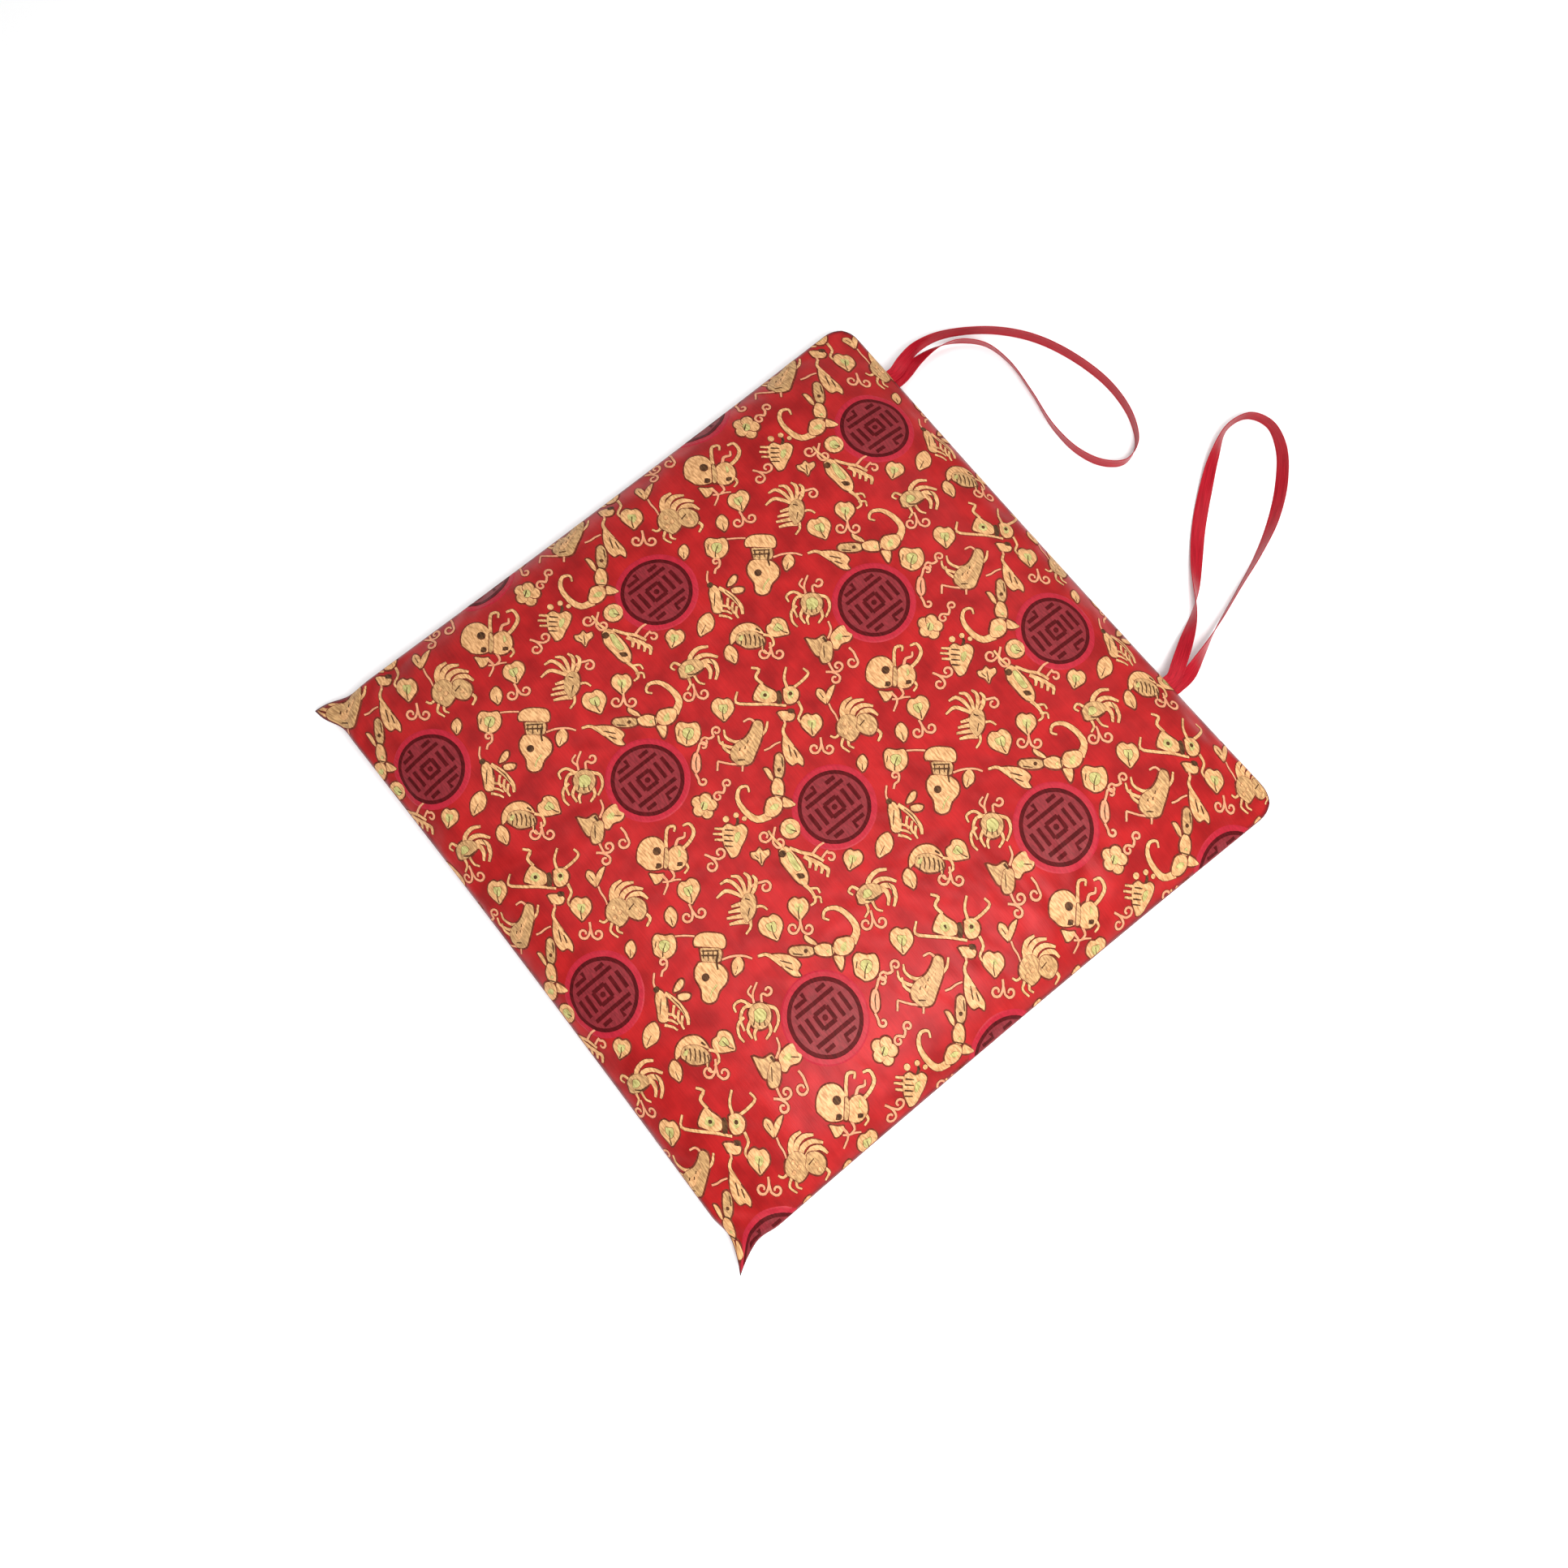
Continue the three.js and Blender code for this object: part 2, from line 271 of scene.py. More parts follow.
def make_ribbon(name, route):
    rows = spline_through(route, RIBBON_STEPS)
    centre = rows[:, :3] * MM
    centre[:, 1] += SQUARE_MIDDLE_Y
    lean = np.radians(rows[:, 3])[:, None]
    along = unit(np.gradient(centre, axis=0))
    level = unit(np.cross([0, 0, 1], along))
    rising = unit(np.cross(along, level))
    across = level * np.cos(lean) + rising * np.sin(lean)
    through = unit(np.cross(along, across))
    thickest = 2 * max(half for _, half in SECTION) * MM
    centre[:, 2] += (np.abs(across[:, 2]) * RIBBON_WIDTH + np.abs(through[:, 2]) * thickest) / 2

    under = [(w, -h) for w, h in SECTION[-2:0:-1]]
    ring = np.array(SECTION + under) * MM
    points = centre[:, None] + across[:, None] * ring[:, :1] + through[:, None] * ring[:, 1:]
    around = len(ring)
    faces = []
    for step in range(RIBBON_STEPS):
        for k in range(around):
            a, b = step * around + k, step * around + (k + 1) % around
            faces.append((a, b, b + around, a + around))
    faces.append(tuple(range(around))[::-1])
    faces.append(tuple(RIBBON_STEPS * around + k for k in range(around)))
    mesh = bpy.data.meshes.new(name)
    mesh.from_pydata(points.reshape(-1, 3).tolist(), [], faces)
    ribbon = bpy.data.objects.new(name, mesh)
    bpy.context.scene.collection.objects.link(ribbon)

    uv = mesh.uv_layers.new(name="OFBake").data
    for face in mesh.polygons:
        for corner, loop in enumerate(face.loop_indices):
            step, k = divmod(mesh.loops[loop].vertex_index, around)
            if len(face.vertices) == 4 and k == 0 and corner in (1, 2):
                k = around
            uv[loop].uv = (step / RIBBON_STEPS, k / around)
    select_only(ribbon)
    with edit_mode():
        bpy.ops.mesh.normals_make_consistent(inside=False)
    bpy.ops.object.shade_smooth()
    length = np.linalg.norm(np.diff(centre, axis=0), axis=1).sum()
    print(name, "is", round(length / MM), "mm of ribbon,", len(mesh.polygons), "faces")
    return ribbon, centre, length


ribbon_left, line_left, length_left = make_ribbon("ribbon_loop_left", ROUTE_LEFT)
ribbon_right, line_right, length_right = make_ribbon("ribbon_loop_right", ROUTE_RIGHT)

# %% [markdown]
# Each loop is a fixed length of something limp that leaves the seam and comes back into it. The
# piece stands for the model's plain tube, which is hidden.

for ribbon, line, length, node in (
    (ribbon_left, line_left, length_left, "tie_loop_left"),
    (ribbon_right, line_right, length_right, "tie_loop_right"),
):
    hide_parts(node)
    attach(ribbon, "root")
    print(ribbon.name, "stands for", node)

# %% [markdown]
# Now the cover's shape before it is filled tight. A `run` rises from 0 at the seam to 1 where the
# cloth is level, and the product of two runs gives a square cushion whose corners stay thin. The
# sides are drawn in at their middles, the back corners are round and the front ones drawn out.

# %% The cover's form
CREASE_FADE = 0.7        # how much of a crease is gone at its end
EAR_POWER = 1.5
PULL_POWER = 3           # the pull is felt close to a side only
TINY = 1e-9              # keeps a division clear of zero
EAR_LIP = 2 * MM         # from the seam to an ear's full thickness
CREASES = [  # soft troughs in the face, mm
    {"start": (109, 196), "end": (96, 148), "depth": 3.2, "width": 7},
    {"start": (99, 176), "end": (64, 150), "depth": 1.6, "width": 8},
    {"start": (-148, 197), "end": (-132, 160), "depth": 2.0, "width": 8},
    {"start": (-74, 190), "end": (-22, 164), "depth": 1.4, "width": 9},
    {"start": (-56, -192), "end": (-40, -138), "depth": 2.0, "width": 7},
    {"start": (-184, -184), "end": (-150, -150), "depth": 1.6, "width": 9},
    {"start": (184, -184), "end": (150, -150), "depth": 1.6, "width": 9},
]


def share(value):
    return np.clip(value, 0, 1)


def run(from_side, length):
    return 1 - (1 - share(from_side / length)) ** RUN_POWER


def rise(from_x, from_y, length):
    return (run(from_x, length) * run(from_y, length)) ** EDGE_POWER


def crease_depth(x, y):
    depth = np.zeros_like(x)
    for crease in CREASES:
        x0, y0 = (c * MM for c in crease["start"])
        dx, dy = (crease["end"][0] * MM - x0, crease["end"][1] * MM - y0)
        near = share(((x - x0) * dx + (y - y0) * dy) / (dx**2 + dy**2))
        off = np.hypot(x - x0 - near * dx, y - y0 - near * dy)
        fading = crease["depth"] * MM * (1 - CREASE_FADE * near)
        depth += fading * np.exp(-((off / (crease["width"] * MM)) ** 2))
    return depth


def sewn_plan(x, y):
    from_x, from_y = HALF - np.abs(x), HALF - np.abs(y)
    plan_x = x - np.sign(x) * SIDE_PULL * (1 - (y / HALF) ** 2) * (np.abs(x) / HALF) ** PULL_POWER
    plan_y = y - np.sign(y) * SIDE_PULL * (1 - (x / HALF) ** 2) * (np.abs(y) / HALF) ** PULL_POWER
    over_x = np.maximum(BACK_CORNER_RADIUS - from_x, 0)
    over_y = np.maximum(BACK_CORNER_RADIUS - from_y, 0)
    far = np.maximum(np.hypot(over_x, over_y), TINY)
    rounded = (y > 0) & (over_x > 0) & (over_y > 0)
    keep = np.where(rounded, 1 - np.maximum(over_x, over_y) / far, 0)
    plan_x -= np.sign(x) * over_x * keep
    plan_y -= np.sign(y) * over_y * keep
    from_corner = from_x + from_y
    on_ear = np.where(y <= 0, share(1 - from_corner / EAR_ROOT), 0)
    reach = EAR_REACH / math.sqrt(2) * on_ear
    widening = np.where(x > 0, -EAR_PINCH, EAR_FLARE)
    root = np.where(x > 0, EAR_PINCH_ROOT, EAR_FLARE_ROOT)
    flare = widening / 2 * share(1 - from_corner / root) * (from_x - from_y) * (y <= 0)
    plan_x += np.sign(x) * (reach - flare)
    plan_y += np.sign(y) * (reach + flare)
    return plan_x, plan_y


def cover_points(x, y, is_face):
    """Points of the face or the underside for places in the sewn square"""
    from_x, from_y = HALF - np.abs(x), HALF - np.abs(y)
    plan_x, plan_y = sewn_plan(x, y)
    ear = np.where(y <= 0, share(1 - (from_x + from_y) / (2 * EAR_ROOT)) ** EAR_POWER, 0)
    seam = SEAM_HEIGHT - EAR_DROOP * ear
    inward = np.minimum(from_x, from_y)
    ear_lift = ear * share(inward / EAR_LIP) * EAR_THICKNESS / 2
    lift = np.maximum(CROWN * rise(from_x, from_y, FACE_RUN), ear_lift)
    face_z = seam + lift - crease_depth(x, y) * share(inward / EAR_ROOT)
    under_z = seam * (1 - rise(from_x, from_y, UNDER_RUN))
    return np.stack([plan_x, plan_y + SQUARE_MIDDLE_Y, np.where(is_face, face_z, under_z)], axis=-1)


print("thickness before filling:", round((SEAM_HEIGHT + CROWN) / MM, 1), "mm, with", len(CREASES), "creases")

# %% [markdown]
# The cloth keeps its own flat measure, so that the woven figures can be laid on it later without
# stretching. Going over the rolled edge takes more cloth than the plan shows, so a flat distance
# is turned into a place in plan through the length of the face's profile, middle to seam.

# %% Flat cloth and sewn plan
CELL = 4 * MM
CELLS = 102
FLAT_HALF = CELL * CELLS / 2
PROFILE_POINTS = 4001

profile_x = np.linspace(0, HALF, PROFILE_POINTS)
profile_z = cover_points(profile_x, np.zeros_like(profile_x), True)[:, 2]
profile_length = np.concatenate([[0], np.cumsum(np.hypot(np.diff(profile_x), np.diff(profile_z)))])


def sewn_from_flat(flat):
    reached = np.abs(flat) / FLAT_HALF * profile_length[-1]
    return np.sign(flat) * np.interp(reached, profile_length, profile_x)


print("middle to seam:", round(profile_length[-1] / MM, 1), "mm over the crown, and",
      round(FLAT_HALF / MM, 1), "mm of cloth")

# %% [markdown]
# The cover starts as a flat grid, and its copy is the underside. Both get their shape from the
# functions above, and merging their rims closes the seam. A grid is used instead of a voxel
# remesh, because every point then remembers where it is on the flat cloth. On the flat map, the
# underside lies well beside the face.

# %% Cut and sew the cover
UNDER_OFFSET = 3 * FLAT_HALF
FACE_END = UNDER_OFFSET / 2
SEWN_TOGETHER = 0.01 * MM


def make_cover():
    deselect_all()
    bpy.ops.mesh.primitive_grid_add(x_subdivisions=CELLS, y_subdivisions=CELLS, size=2 * FLAT_HALF)
    cover = name_active("brocade_cushion")
    with edit_mode():
        bpy.ops.mesh.duplicate()
        bpy.ops.transform.translate(value=(0, 0, -HALF))
        bpy.ops.mesh.flip_normals()
    mesh = cover.data
    flat = read_all(mesh.vertices, "co", 3)
    is_face = flat[:, 2] > -HALF / 2
    corner_point = read_all(mesh.loops, "vertex_index", kind=int)
    cloth_map = flat[:, :2] + np.where(is_face, 0, UNDER_OFFSET)[:, None] * [1, 0]
    mesh.uv_layers[0].name = "cloth"
    mesh.uv_layers["cloth"].data.foreach_set("uv", cloth_map[corner_point].ravel())
    x, y = sewn_from_flat(flat[:, 0]), sewn_from_flat(flat[:, 1])
    mesh.vertices.foreach_set("co", cover_points(x, y, is_face).ravel())
    select_only(cover)
    with edit_mode():
        bpy.ops.mesh.remove_doubles(threshold=SEWN_TOGETHER)
    return cover


cover = make_cover()
print("cover:", len(cover.data.vertices), "points,", len(cover.data.polygons), "faces")

# %% [markdown]
# Filling it is a cloth simulation: air pressure from inside, no gravity, and a cloth that is a
# little too large, so that it puckers where the seam holds it. The seam is pinned, and the
# filling holds the level middle softly. Each point may move only a few millimetres from the
# shape above, so the pad keeps its size.

# %% Fill the cover
FILL_FRAMES = 20
EXTRA_CLOTH = 0.012      # how much too large the cloth is
MOST_MOVE = 2.2 * MM
ON_FLOOR = 0.2 * MM
HELD_SOFTLY = 0.25
HOLD_START = 12 * MM
HOLD_RUN = 45 * MM
CLOTH = {
    "quality": 6, "mass": 0.15, "tension_stiffness": 20, "compression_stiffness": 20, "shear_stiffness": 6,
    "bending_stiffness": 0.4, "use_pressure": True, "uniform_pressure_force": 4,
    "vertex_group_mass": "held", "pin_stiffness": 1, "shrink_min": -EXTRA_CLOTH,
}


def seam_edges(cover):
    """Edges between a face quad and an underside quad"""
    cloth = cover.data.uv_layers["cloth"].data
    sides_of_edge = {}
    for face in cover.data.polygons:
        is_face = cloth[face.loop_start].uv.x < FACE_END
        for edge in face.edge_keys:
            sides_of_edge.setdefault(edge, set()).add(is_face)
    return [edge for edge, sides in sides_of_edge.items() if len(sides) == 2]


def fill_cover(cover):
    start = read_all(cover.data.vertices, "co", 3)
    on_floor = start[:, 2] < ON_FLOOR
    from_x = HALF - np.abs(start[:, 0])
    from_y = HALF - np.abs(start[:, 1] - SQUARE_MIDDLE_Y)
    hold = HELD_SOFTLY * share((np.minimum(from_x, from_y) - HOLD_START) / HOLD_RUN)
    hold = np.where(on_floor, 1, hold)
    held = cover.vertex_groups.new(name="held")
    seam_points = {point for edge in seam_edges(cover) for point in edge}
    for index, weight in enumerate(hold):
        held.add([index], 1.0 if index in seam_points else float(weight), "REPLACE")
    select_only(cover)
    bpy.ops.object.modifier_add(type="CLOTH")
    cloth = cover.modifiers[-1]
    for name, value in CLOTH.items():
        setattr(cloth.settings, name, value)
    cloth.settings.effector_weights.gravity = 0
    cloth.point_cache.frame_end = FILL_FRAMES
    for step in range(1, FILL_FRAMES + 1):
        bpy.context.scene.frame_set(step)
    bpy.ops.object.modifier_apply(modifier=cloth.name)
    bpy.context.scene.frame_set(1)
    moved = read_all(cover.data.vertices, "co", 3) - start
    distance = np.linalg.norm(moved, axis=1, keepdims=True)
    print("largest move before the cap:", round(float(distance.max()) / MM, 2), "mm")
    kept = start + moved * MOST_MOVE / (MOST_MOVE + distance)
    kept[:, 2] = np.maximum(kept[:, 2], 0)
    kept[on_floor, 2] = 0
    cover.data.vertices.foreach_set("co", kept.ravel())
    cover.vertex_groups.clear()


fill_cover(cover)

# %% [markdown]
# One subdivision makes the puckers round. The seam is creased first, so that it stays a fine line,
# and its points are marked with an attribute, which the satin reads later to paint a thin line of shade
# along the seam.

# %% Smooth the cover
SEAM_CREASE = 0.6

seam = set(seam_edges(cover))
crease = cover.data.attributes.new("crease_edge", "FLOAT", "EDGE")
crease.data.foreach_set("value", [SEAM_CREASE if edge.key in seam else 0.0 for edge in cover.data.edges])
seam_points = {point for edge in seam for point in edge}
# The seam's points carry painted shade: the satin darkens its colour along them.
painted_seam_shade = cover.data.attributes.new("painted_seam_shade", "FLOAT", "POINT")
painted_seam_shade.data.foreach_set("value", [float(k in seam_points) for k in range(len(cover.data.vertices))])
select_only(cover)
smooth = cover.modifiers.new("smooth", "SUBSURF")
smooth.levels = smooth.render_levels = 1
smooth.uv_smooth = "NONE"
bpy.ops.object.modifier_apply(modifier="smooth")
bpy.ops.object.shade_smooth()
cover.data.attributes.remove(cover.data.attributes["crease_edge"])
print("cover after smoothing:", len(cover.data.polygons), "faces")

# %% [markdown]
# The filled face is now read back as a square table of points, one for each crossing of the fine
# grid. It says where any spot of the flat cloth has ended up, and which way is out of the cloth
# there. The woven figures are drawn flat and laid on the pad through this table.

# %% Read the face of the cover
FINE = CELL / 2
FINE_CELLS = 2 * CELLS


def read_face(mesh):
    cloth_map = read_all(mesh.uv_layers["cloth"].data, "uv", 2)
    on_face = cloth_map[:, 0] < FACE_END
    i, j = np.rint((cloth_map[on_face] + FLAT_HALF) / FINE).astype(int).T
    table = np.zeros((FINE_CELLS + 1, FINE_CELLS + 1, 3))
    table[i, j] = read_all(mesh.vertices, "co", 3)[read_all(mesh.loops, "vertex_index", kind=int)[on_face]]
    return table


face_table = read_face(cover.data)
out_table = np.cross(np.gradient(face_table, axis=0), np.gradient(face_table, axis=1))
out_table /= np.linalg.norm(out_table, axis=2, keepdims=True)


def lay_on_face(flat, height):
    """Points at a height over the cloth, for places on the flat cloth"""
    place = (flat + FLAT_HALF) / FINE
    cell = np.clip(np.floor(place).astype(int), 0, FINE_CELLS - 1)
    i, j = cell.T
    s, t = (place - cell).T[..., None]

    def between(table):
        near = table[i, j] * (1 - s) + table[i + 1, j] * s
        far = table[i, j + 1] * (1 - s) + table[i + 1, j + 1] * s
        return near * (1 - t) + far * t

    return between(face_table) + unit(between(out_table)) * height[:, None]


print("highest point of the face:", round(face_table[..., 2].max() / MM, 1), "mm")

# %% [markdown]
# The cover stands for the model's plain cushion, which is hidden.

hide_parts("cushion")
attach(cover, "root")
print(cover.name, "stands for cushion")

# %% [markdown]
# The figures are woven in gold across the red satin, and the same square of them repeats over the
# cloth. One repeat is drawn flat, as a weaver's chart is, in millimetres of cloth. There are two
# kinds of mark: a patch is a closed outline, smoothed through a few points, and a stroke is a line
# that swells and thins. A stem is a stroke in the thin tan yarn, and a vein is a dark one that is
# drawn over a patch. A motif is a few marks around its own middle, and the chart puts it at a
# place, with a turn, a size and a flip.

# %% Marks of the chart
UPRIGHT = 51          # the figures stand with a corner of the pad up
OWN_LIFT = 0.11       # of a layer's height
OWN_LIFTS = 8         # how many marks before the lifts start again
STROKE_LIFT = 0.05    # strokes lie a little over patches
patches = []
strokes = []


def own_lift(marks):
    """A hair of height, so that no two neighbours lie in one plane"""
    return OWN_LIFT * (len(marks) % OWN_LIFTS)


def placed(points, at):
    x, y, turn, size, flip = at
    angle = math.radians(turn + UPRIGHT)
    spin = [[math.cos(angle), math.sin(angle)], [-math.sin(angle), math.cos(angle)]]
    return np.array(points, float) * (-size if flip else size, size) @ spin + (x, y)


def add_patch(outline, at, layer, tone):
    flipped = at[-1]
    if flipped:
        outline = outline[::-1]
    patches.append({"outline": outline, "tone": tone, "layer": layer + own_lift(patches)})


def patch(at, points, layer=0, tone="gold", steps_each=3):
    points = placed(points, at)
    wrapped = np.vstack([points[-1:], points, points[:2]])
    outline = spline_through(wrapped, (len(wrapped) - 1) * steps_each)
    add_patch(outline[steps_each:-2 * steps_each], at, layer, tone)


def disc(at, x, y, radius, layer=0, tone="gold", corners=14):
    angles = np.arange(corners) * 2 * math.pi / corners
    points = np.stack([x + radius * np.cos(angles), y + radius * np.sin(angles)], axis=1)
    add_patch(placed(points, at), at, layer, tone)


def stroke(at, points, widths, layer=0, tone="gold", steps_each=3):
    centre = spline_through(placed(points, at), (len(points) - 1) * steps_each)
    along = np.linspace(0, len(widths) - 1, len(centre))
    width = np.interp(along, range(len(widths)), widths)
    strokes.append({"centre": centre, "width": width, "tone": tone,
                    "layer": layer + STROKE_LIFT + own_lift(strokes)})


def stem(at, points, widths, steps_each=3):
    stroke(at, points, widths, 0, "tan", steps_each)


def vein(at, points, widths, layer, steps_each=2):
    stroke(at, points, widths, layer, "dark", steps_each)


def try_motifs(*motifs):
    """Draws each motif once to count its marks, and clears the chart again"""
    for motif in motifs:
        motif((0, 0, 0, 1, False))
        print(motif.__name__, "takes", len(patches), "patches and", len(strokes), "strokes")
        patches.clear()
        strokes.clear()


print("the chart is empty, and stands at", UPRIGHT, "degrees on the cloth")

# %% [markdown]
# Most of the space between the figures is filled with tendrils that end in a curl. A curl is a
# spiral worked out from its middle, its radius, where it starts and how far it winds.

# %% Tendrils
TENDRIL = (1.5, 1.7, 1.3)     # its width at the start, the middle and the end
CURL_TIGHTENS = 0.62          # how much of its radius a curl has lost at its end


def curl(x, y, radius, start, winding, turns=7):
    for k in range(turns + 1):
        angle = math.radians(start + winding * k / turns)
        reach = radius * (1 - CURL_TIGHTENS * k / turns)
        yield (x + reach * math.cos(angle), y + reach * math.sin(angle))


def curled(at, points, *spiral):
    """A tendril along a few points and round a curl"""
    stroke(at, [*points, *curl(*spiral)], TENDRIL, 0, "tan", 2)


def tendril(at):
    curled(at, [(0.6, 8.2), (1.4, 4.6)], -2.2, 0, 3.6, 25, -400)


def double_tendril(at):
    curled(at, [(0, 6.4), (0.5, 2.8)], -3.6, -0.4, 3.5, 0, -380)
    curled(at, [(0.5, 2.8), (1.9, -1.9)], 5.2, -0.6, 3.3, 210, 350)


def scroll(at):
    """Two curls on one S"""
    stem(at, [*list(curl(-4.6, 3, 3.2, -40, 380))[::-1], (0.2, -2.2), *curl(4.2, -3.4, 3.3, 140, -380)],
              (1.3, 1.7, 1.3), 2)


def hook(at):
    curled(at, [(-6.4, -3.8), (-2.6, -2.6), (0.4, -3.8)], 3, 0.4, 3.2, -75, 360)


def twig(at):
    stem(at, [(-7.5, 0.3), (-2.4, -0.3), (2.6, 0.3), (7.8, -0.3)], (1.2, 1.3, 1), 2)


try_motifs(tendril, double_tendril, scroll, hook, twig)

# %% [markdown]
# A leaf is one wide patch of gold, with a fold in the darker yarn and a few veins over it. On a
# real loom a vein is a place where the gold floats are bound down, so the ground shows through.

# %% Leaves
def leaf(at):
    patch(at, [(0.6, -8.6), (3.8, -5.4), (6.7, -1), (6, 3.6), (2.8, 6.4), (0.2, 5.6), (-2.8, 6.6),
               (-6.4, 3.8), (-6.6, -1.2), (-3.2, -5.2)])
    patch(at, [(0.7, -4.2), (3.2, -1), (2.6, 2.6), (0.1, 2.6), (-2.7, 2.4), (-2.5, -1.4)], 1, "green")
    vein(at, [(0.7, -7), (-0.1, -3.6), (0.3, 0.8)], (0.9, 0.5), 2)


def square_leaf(at):
    patch(at, [(-0.6, -8.2), (4.6, -6.6), (7.6, -2.4), (7.4, 3.6), (5.2, 6.8), (0.6, 6.2), (-4.8, 7),
               (-7.2, 4), (-6.8, -1), (-5.6, -5.4)])
    patch(at, [(0.2, -4.6), (3.6, -2.2), (3.8, 2.4), (0.4, 3.8), (-3, 2.4), (-2.8, -2)], 1, "green")
    vein(at, [(-0.4, -6.6), (-0.2, -2.4), (1.4, 1.8)], (0.9, 0.5), 2)
    vein(at, [(-5.2, -1.6), (-4.6, 2.4)], (0.5, 0.8, 0.5), 2, 3)


def round_leaf(at):
    disc(at, 0, 0, 6.2)
    patch(at, [(-2.6, -2.8), (1.8, -3.2), (3.2, 0.8), (0.6, 3.4), (-2.8, 1.8)], 1, "green")
    vein(at, [(-1.8, -3.6), (0.2, -0.6)], (0.9, 0.6), 2)


def fan_leaf(at):
    patch(at, [(0, -6.4), (2.4, -2.6), (6, 0.2), (5.6, 3.8), (2.2, 3.4), (0.2, 5.8), (-2.4, 3.6),
               (-5.8, 3.4), (-5.4, -0.2), (-2.2, -2.6)])
    vein(at, [(0, -4.4), (0.2, 2.2)], (0.9, 0.6), 1)
    vein(at, [(-3.4, 1.4), (-1.2, -1.2)], (0.5, 0.8), 1)


try_motifs(leaf, square_leaf, round_leaf, fan_leaf)

# %% [markdown]
# Buds and small flowers fill the gaps that are too wide for a tendril. Each has few marks, because
# the loom can't draw anything finer than about half a millimetre.

# %% Buds and small flowers
def bud(at):
    patch(at, [(0.2, -5.8), (3, -2.4), (3.3, 1.6), (0.5, 5.2), (-2.8, 2.4), (-3, -1.8)])
    vein(at, [(0.3, -4.2), (0, -0.2)], (0.7, 0.4), 1)


def lone_flower(at):
    """A slim flower with a curl above and below it"""
    patch(at, [(-0.6, -7.4), (2.6, -5), (3.2, 0.6), (1.6, 6.8), (-1.4, 7.2), (-3.2, 2.2), (-3, -3.8)],
               0, "tan")
    vein(at, [(0.4, -4.6), (-0.2, 0.8), (0.4, 4.4)], (0.6, 0.9, 0.5), 1)
    curled(at, [(0.2, 6.4), (1.4, 9.8)], 4.4, 11.4, 2.9, 195, -330)
    curled(at, [(-0.2, -6.8), (1.6, -10.2)], 4.6, -11.6, 2.9, 165, 330)


def sprout(at):
    """Two small leaves on one stem"""
    patch(at, [(0.4, -6.2), (3, -2), (5, 3.2), (5.6, 7), (2, 4.8), (-0.2, 0.4)])
    patch(at, [(0.2, -6), (1, -1.4), (-1, 3.2), (-4.8, 4.4), (-5.8, 0.6), (-3, -3.2)])
    vein(at, [(-3.6, 1.6), (-1.2, -1.6)], (0.5, 0.8), 1)


try_motifs(bud, lone_flower, sprout)

# %% [markdown]
# A round blossom is a ring of petals about a middle, so its petals come from one loop over the
# angle. Drawing the lowest layer first and the eye last gives the overlaps of real petals.

# %% Round blossoms
def rosette(at):
    for turn, reach in ((80, 4.2), (150, 4.6), (222, 4), (294, 4.6), (8, 4.2)):
        x, y = (reach * math.cos(math.radians(turn)), reach * math.sin(math.radians(turn)))
        disc(at, x, y, 4, turn % 2 + turn % 3)
    patch(at, [(-1.4, -2.8), (1.8, -2.2), (2.2, 1.6), (-0.4, 3), (-2.6, 1)], 4, "green")
    vein(at, [(-1.4, -2), (-0.2, 2)], (0.9, 0.6), 5)


def chrysanthemum(at):
    """A chrysanthemum in profile, its petals curling over a round heart"""
    for points in ([(-6.5, -1), (-8.6, 5.4), (-7.4, 10.8), (-3, 14.2)],
                   [(-5.2, 0), (-5.6, 6.8), (-1.6, 11.8), (4, 13)],
                   [(-3, 0), (-2, 6), (3, 9.6), (9.4, 9.2)],
                   [(-0.5, 0), (3, 5.4), (8, 6.6), (12.2, 3.8)]):
        stroke(at, points, (3.3, 3.6, 3, 1.5), 1)
    patch(at, [(-3.6, -12.4), (1.4, -7.6), (2.2, -1), (-2, 4.2), (-8.2, 4), (-11.8, -1.6), (-10.8, -8.2)],
               2, "shade")
    patch(at, [(-0.8, -3.8), (3, -7.2), (8.8, -8.2), (12, -3.8), (10.6, 2.2), (5, 5.2), (0, 3.4)],
               3, "shade")
    for x, y in ((-6.6, -6.6), (-3.8, -3.6), (-7.2, -1.2), (5.8, -2.2), (7.8, -4.8)):
        patch(at, [(x - 1.6, y - 0.9), (x + 0.6, y - 1.7), (x + 1.6, y + 0.7), (x - 0.5, y + 1.6)],
                   4, "gold", 2)
    stroke(at, [(-9.4, -6.6), (-12.6, -9.4), (-15.4, -8.4)], (1.8, 1.3))
    stroke(at, [(-8, -9.6), (-8.8, -14.2), (-4.2, -17.8)], (1.9, 1.2))
    stroke(at, [(-5, -10.6), (-4.6, -14), (-1.6, -15.6)], (1.9, 1.2))
    stroke(at, [(10.6, -4), (13.8, -7), (12, -11.6)], (1.9, 2.1, 1.4))
    vein(at, [(1.6, -2.4), (4.4, 1)], (0.9, 0.6), 5)


